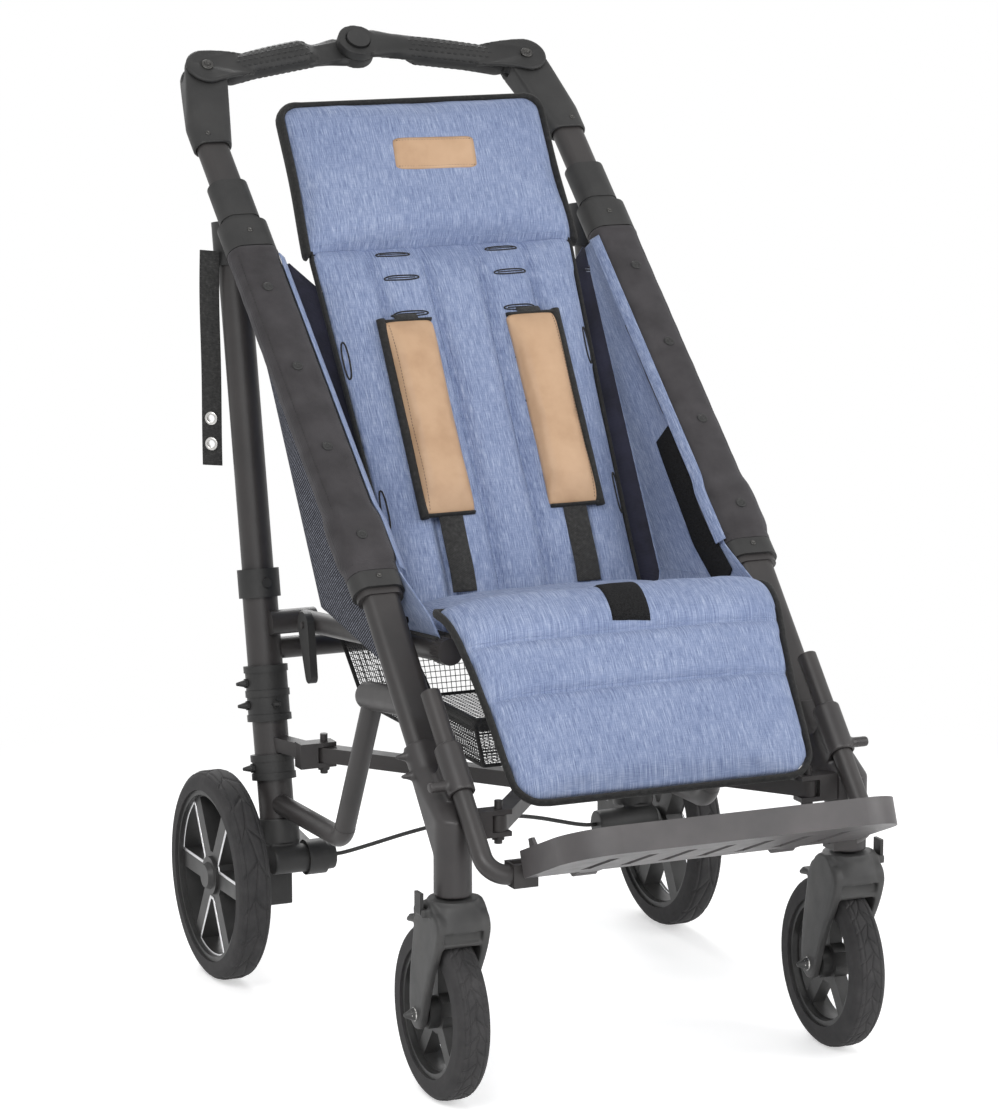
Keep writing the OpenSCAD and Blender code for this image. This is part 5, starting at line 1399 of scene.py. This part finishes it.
# handle: dimpled grips, pivot screws; collars: small screws; casters: axle nuts
DIMPLE = turned([(0.0016, -0.0004), (0.0015, 0.0002), (0.0009, 0.0005), (0.0003, 0.0006)], 8)
SCREW = turned([(0.0078, -0.002), (0.0078, 0.0006), (0.0070, 0.0014), (0.0042, 0.0016), (0.0040, 0.0004),
                (0.0034, -0.0004), (0.0004, -0.0004)], 12)
SMALL_SCREW = turned([(0.0034, -0.001), (0.0034, 0.0004), (0.0027, 0.0010), (0.0016, 0.0011), (0.0015, 0.0002),
                      (0.0003, 0.0001)], 12)
AXLE_NUT = turned([(0.0078, -0.0015), (0.0078, 0.0012), (0.0060, 0.0020), (0.0058, 0.0052), (0.0040, 0.0074),
                   (0.0012, 0.0082)], 12)


def moulded(name, shapes, grid, passes, finish, body, slot, *gone, punch=None):
    """One rounded moulding: closed shapes and the nodes in gone, fused on a fine grid, with their edges eased."""
    made = bmesh.new()
    for mesh in shapes + [nodes[n].data for n in gone]:
        made.from_mesh(mesh)
    bmesh.ops.remove_doubles(made, verts=made.verts, dist=1e-6)
    mesh = bpy.data.meshes.new(name)
    made.to_mesh(mesh)
    made.free()
    piece = added(name, mesh)
    fuse = piece.modifiers.new("fuse", "REMESH")
    fuse.mode, fuse.voxel_size = "VOXEL", grid
    ease = piece.modifiers.new("ease", "SMOOTH")
    ease.factor, ease.iterations = 0.5, passes
    settled(piece)
    if punch:
        punched(piece, punch)
    coated(piece.data, finish)
    return rides(piece, body, slot, *gone)


def eased(x, low, high):
    t = np.clip((np.asarray(x, float) - low) / (high - low), 0, 1)
    return t * t * (3 - 2 * t)


def button_punch():
    """Cuts the pocket the push button sinks into."""
    button = points_of(nodes["handle_button"].data)
    middle = button.mean(0)
    floor = float(((button - middle) @ np.array(FACE)).min()) - 0.0036
    pocket = turned([(0.0152, floor), (0.0152, 0.03)], 48)
    return set_out("button_punch", pocket, [(middle, FACE, ACROSS, TRUE_SIZE)], GRIP)


def handle_pivot(s):
    return at(s * 0.212, 0.3538, 1.0524)


# layers of the lug over the elbow: height, round end, reach along the grip, fall towards it
LUG = ((0.0166, 0.0262, 0.062, 0.012), (0.0196, 0.0262, 0.062, 0.012), (0.0212, 0.0248, 0.060, 0.011),
       (0.0218, 0.0225, 0.056, 0.010))
LUG_NECK = 0.0165
DIMPLE_ROWS = (-64, -38, -12, 14, 40, 66, 118, 144, 170, 196, 222, 248)


def push_handle(s):
    """Half of the handle: a full soft grip from the elbow to the centre, flattened where the halves lap."""
    side = SIDE[s]
    bend = math.atan2(0.041, 0.212)
    run = Vector((-s * math.cos(bend), 0, 0)) + UP_TUBE * math.sin(bend)
    cross = FACE.cross(run).normalized()
    if cross.z < 0:
        cross = -cross
    pivot = handle_pivot(s)
    along = np.linspace(0.0275, 0.1985, 64)
    lap = eased(along, 0.138, 0.166)
    bow = np.sin(np.pi * np.clip((along - 0.03) / 0.185, 0, 1))
    path = [pivot + run * a + cross * 0.0055 * b + FACE * s * 0.0069 * t for a, b, t in zip(along, bow, lap)]
    start = 0.88 + 0.12 * eased(along, 0.0275, 0.036)
    high = (0.0150 * (1 - lap) + 0.0064 * lap) * start
    wide = (0.0172 + 0.0055 * eased(along, 0.165, 0.2)) * start
    ring = [(squared(c, 0.8), squared(d, 0.8)) for c, d in circle(32)]
    verts = [p + cross * (w * c) + FACE * (h * d) for p, w, h in zip(path, wide, high) for c, d in ring]
    skin = finished("grip_skin", verts, stacked(len(path), len(ring)), GRIP)
    verts = []
    out_and_back = [(t, 1) for t in np.linspace(0, 1, 9)[1:]] + [(t, -1) for t in np.linspace(1, 0, 9)[:-1]]
    for up, r, reach, fall in LUG:
        for t in np.linspace(-math.pi / 2, math.pi / 2, 15):
            verts.append(pivot + FACE * up - run * r * math.cos(t) + cross * r * math.sin(t))
        for t, k in out_and_back:
            verts.append(pivot + FACE * (up - fall * t * t) + run * reach * t + cross * k * (r + (LUG_NECK - r) * t))
    lug = finished("handle_lug", verts, stacked(len(LUG), len(verts) // len(LUG)), GRIP)
    grip = moulded("push_handle_" + side, [loose(skin), loose(lug)], 0.0013, 5, GRIP, "handle_" + side, "grip",
                   "handle_half_" + side, punch=button_punch() if s > 0 else None)
    tree, places = face_tree(grip.data), []
    for row, tilt in enumerate(DIMPLE_ROWS):
        out = FACE * math.cos(math.radians(tilt)) + cross * math.sin(math.radians(tilt))
        for k in range(13):
            a = 0.046 + (k + 0.5 * (row % 2)) * 0.0082
            spot, face, _, _ = tree.ray_cast(pivot + run * a + cross * 0.004 + out * 0.06, -out)
            if spot is not None:
                places.append((spot, face, run, (2.0, 1, 1)))
    # the dimples' dark colour is painted shade for the hollows of the grip
    fitted("grip_dimples_" + side, "handle_" + side, DIMPLE, places, DIMPLE_PAINTED_SHADE, "grip")


CASTER_OUT, STEM_Y, AXLE_Y, AXLE_Z = 0.242, -0.468, -0.437, 0.0975
# outline of a fork cheek in millimetres, from the stem's line and the floor
CHEEK = [(20, 84), (9, 116), (-6, 146), (-20, 170), (-29, 190), (-33, 208), (-24, 222), (0, 226), (24, 222), (34, 208),
         (38, 190), (43, 168), (47, 144), (49, 120), (48, 99), (43, 85), (31, 80)]
CHEEK_LAYERS = ((0.0226, 0.0), (0.0300, 0.0), (0.0312, 0.0014), (0.0318, 0.0036))
ARCH_RADIUS, ARCH_HALF = 0.1046, 0.0318
# height, half sizes and squareness of the crown
CROWN = ((0.2025, 0.0318, 0.036, 4.0), (0.212, 0.0316, 0.034, 3.6), (0.220, 0.0300, 0.031, 3.0),
         (0.227, 0.0272, 0.028, 2.4), (0.2325, 0.0245, 0.0245, 2.0), (0.2338, 0.0232, 0.0232, 2.0))


def fork_moulding(s):
    """The caster fork as one moulding: crown round the stem, arch over the wheel, swept cheeks down to the axle."""
    side, x = SIDE[s], s * CASTER_OUT
    ring = smooth_line([(a / 1000, b / 1000) for a, b in CHEEK + CHEEK[:1]], 73)[:-1]
    mid = ring.mean(0)
    shapes = []
    for k in (-1, 1):
        verts = []
        for out, inset in CHEEK_LAYERS:
            for d in ring - mid:
                y, z = d * (1 - inset / np.linalg.norm(d)) + mid
                verts.append((x + k * out, STEM_Y + y - MID, z))
        shapes.append(finished("fork_cheek", verts, stacked(len(CHEEK_LAYERS), len(ring)), FORK))
    arc = [(math.sin(t), math.cos(t)) for t in np.radians(np.linspace(-14, 33, 30))]
    line = [(x, AXLE_Y - ARCH_RADIUS * c - MID, AXLE_Z + ARCH_RADIUS * d) for c, d in arc]
    shapes.append(swept("fork_arch", line, slab(ARCH_HALF, 0.0062), [(0, -c, d) for c, d in arc], FORK))
    under = [q[1:] for q in line] + [(line[-1][1] + 0.004, 0.206), (line[0][1] - 0.004, 0.206)]
    verts = [(x + k * 0.0300, y, z) for k in (-1, 1) for y, z in under]
    shapes.append(finished("fork_web", verts, stacked(2, len(under)), FORK))
    verts, sides = [], 40
    for z, hx, hy, square in CROWN:
        for c, d in circle(sides):
            r = (abs(c) ** square + abs(d) ** square) ** (-1 / square)
            verts.append((x + hx * r * c, STEM_Y + hy * r * d - MID, z))
    shapes.append(finished("fork_crown", verts, stacked(len(CROWN), sides), FORK))
    moulded("fork_moulding_" + side, [loose(shape) for shape in shapes], 0.0015, 8, FORK, "caster_" + side,
            "black_plastic", "caster_fork_" + side)
    nuts = [(at(x + k * 0.0322, AXLE_Y, AXLE_Z), (k, 0, 0), (0, 0, 1), TRUE_SIZE) for k in (-1, 1)]
    fitted("axle_nuts_" + side, "caster_" + side, AXLE_NUT, nuts, NICKEL, "black_plastic")


# (along the front tube, aside, off its face)
COLLAR_SCREWS = ((0.541, 0.0, 0.0180), (0.700, 0.006, 0.0150), (0.022, 0.0, 0.0181))
for s, side in SIDE.items():
    body = side + "_frame"
    push_handle(s)
    fork_moulding(s)
    moulded("elbow_moulding_" + side, [], 0.0014, 14, PLASTIC, body, "black_plastic", "elbow_" + side)
    moulded("caster_housing_casting_" + side, [], 0.0016, 10, CAST_COAT, body, "cast_black", "caster_housing_" + side)
    moulded("brake_housing_moulding_" + side, [], 0.0015, 8, PLASTIC, body, "black_plastic", "brake_housing_" + side)
    pivot = handle_pivot(s)
    spots = [(pivot + FACE * 0.0217, FACE, ACROSS, TRUE_SIZE), (pivot - FACE * 0.0175, -FACE, ACROSS, TRUE_SIZE)]
    fitted("pivot_screws_" + side, body, SCREW, spots, DARK_STEEL, "cast_black")
    spots = [(on_tube(s, *place), FACE, ACROSS, TRUE_SIZE) for place in COLLAR_SCREWS]
    fitted("collar_screws_" + side, body, SMALL_SCREW, spots, DARK_STEEL, "black_plastic")
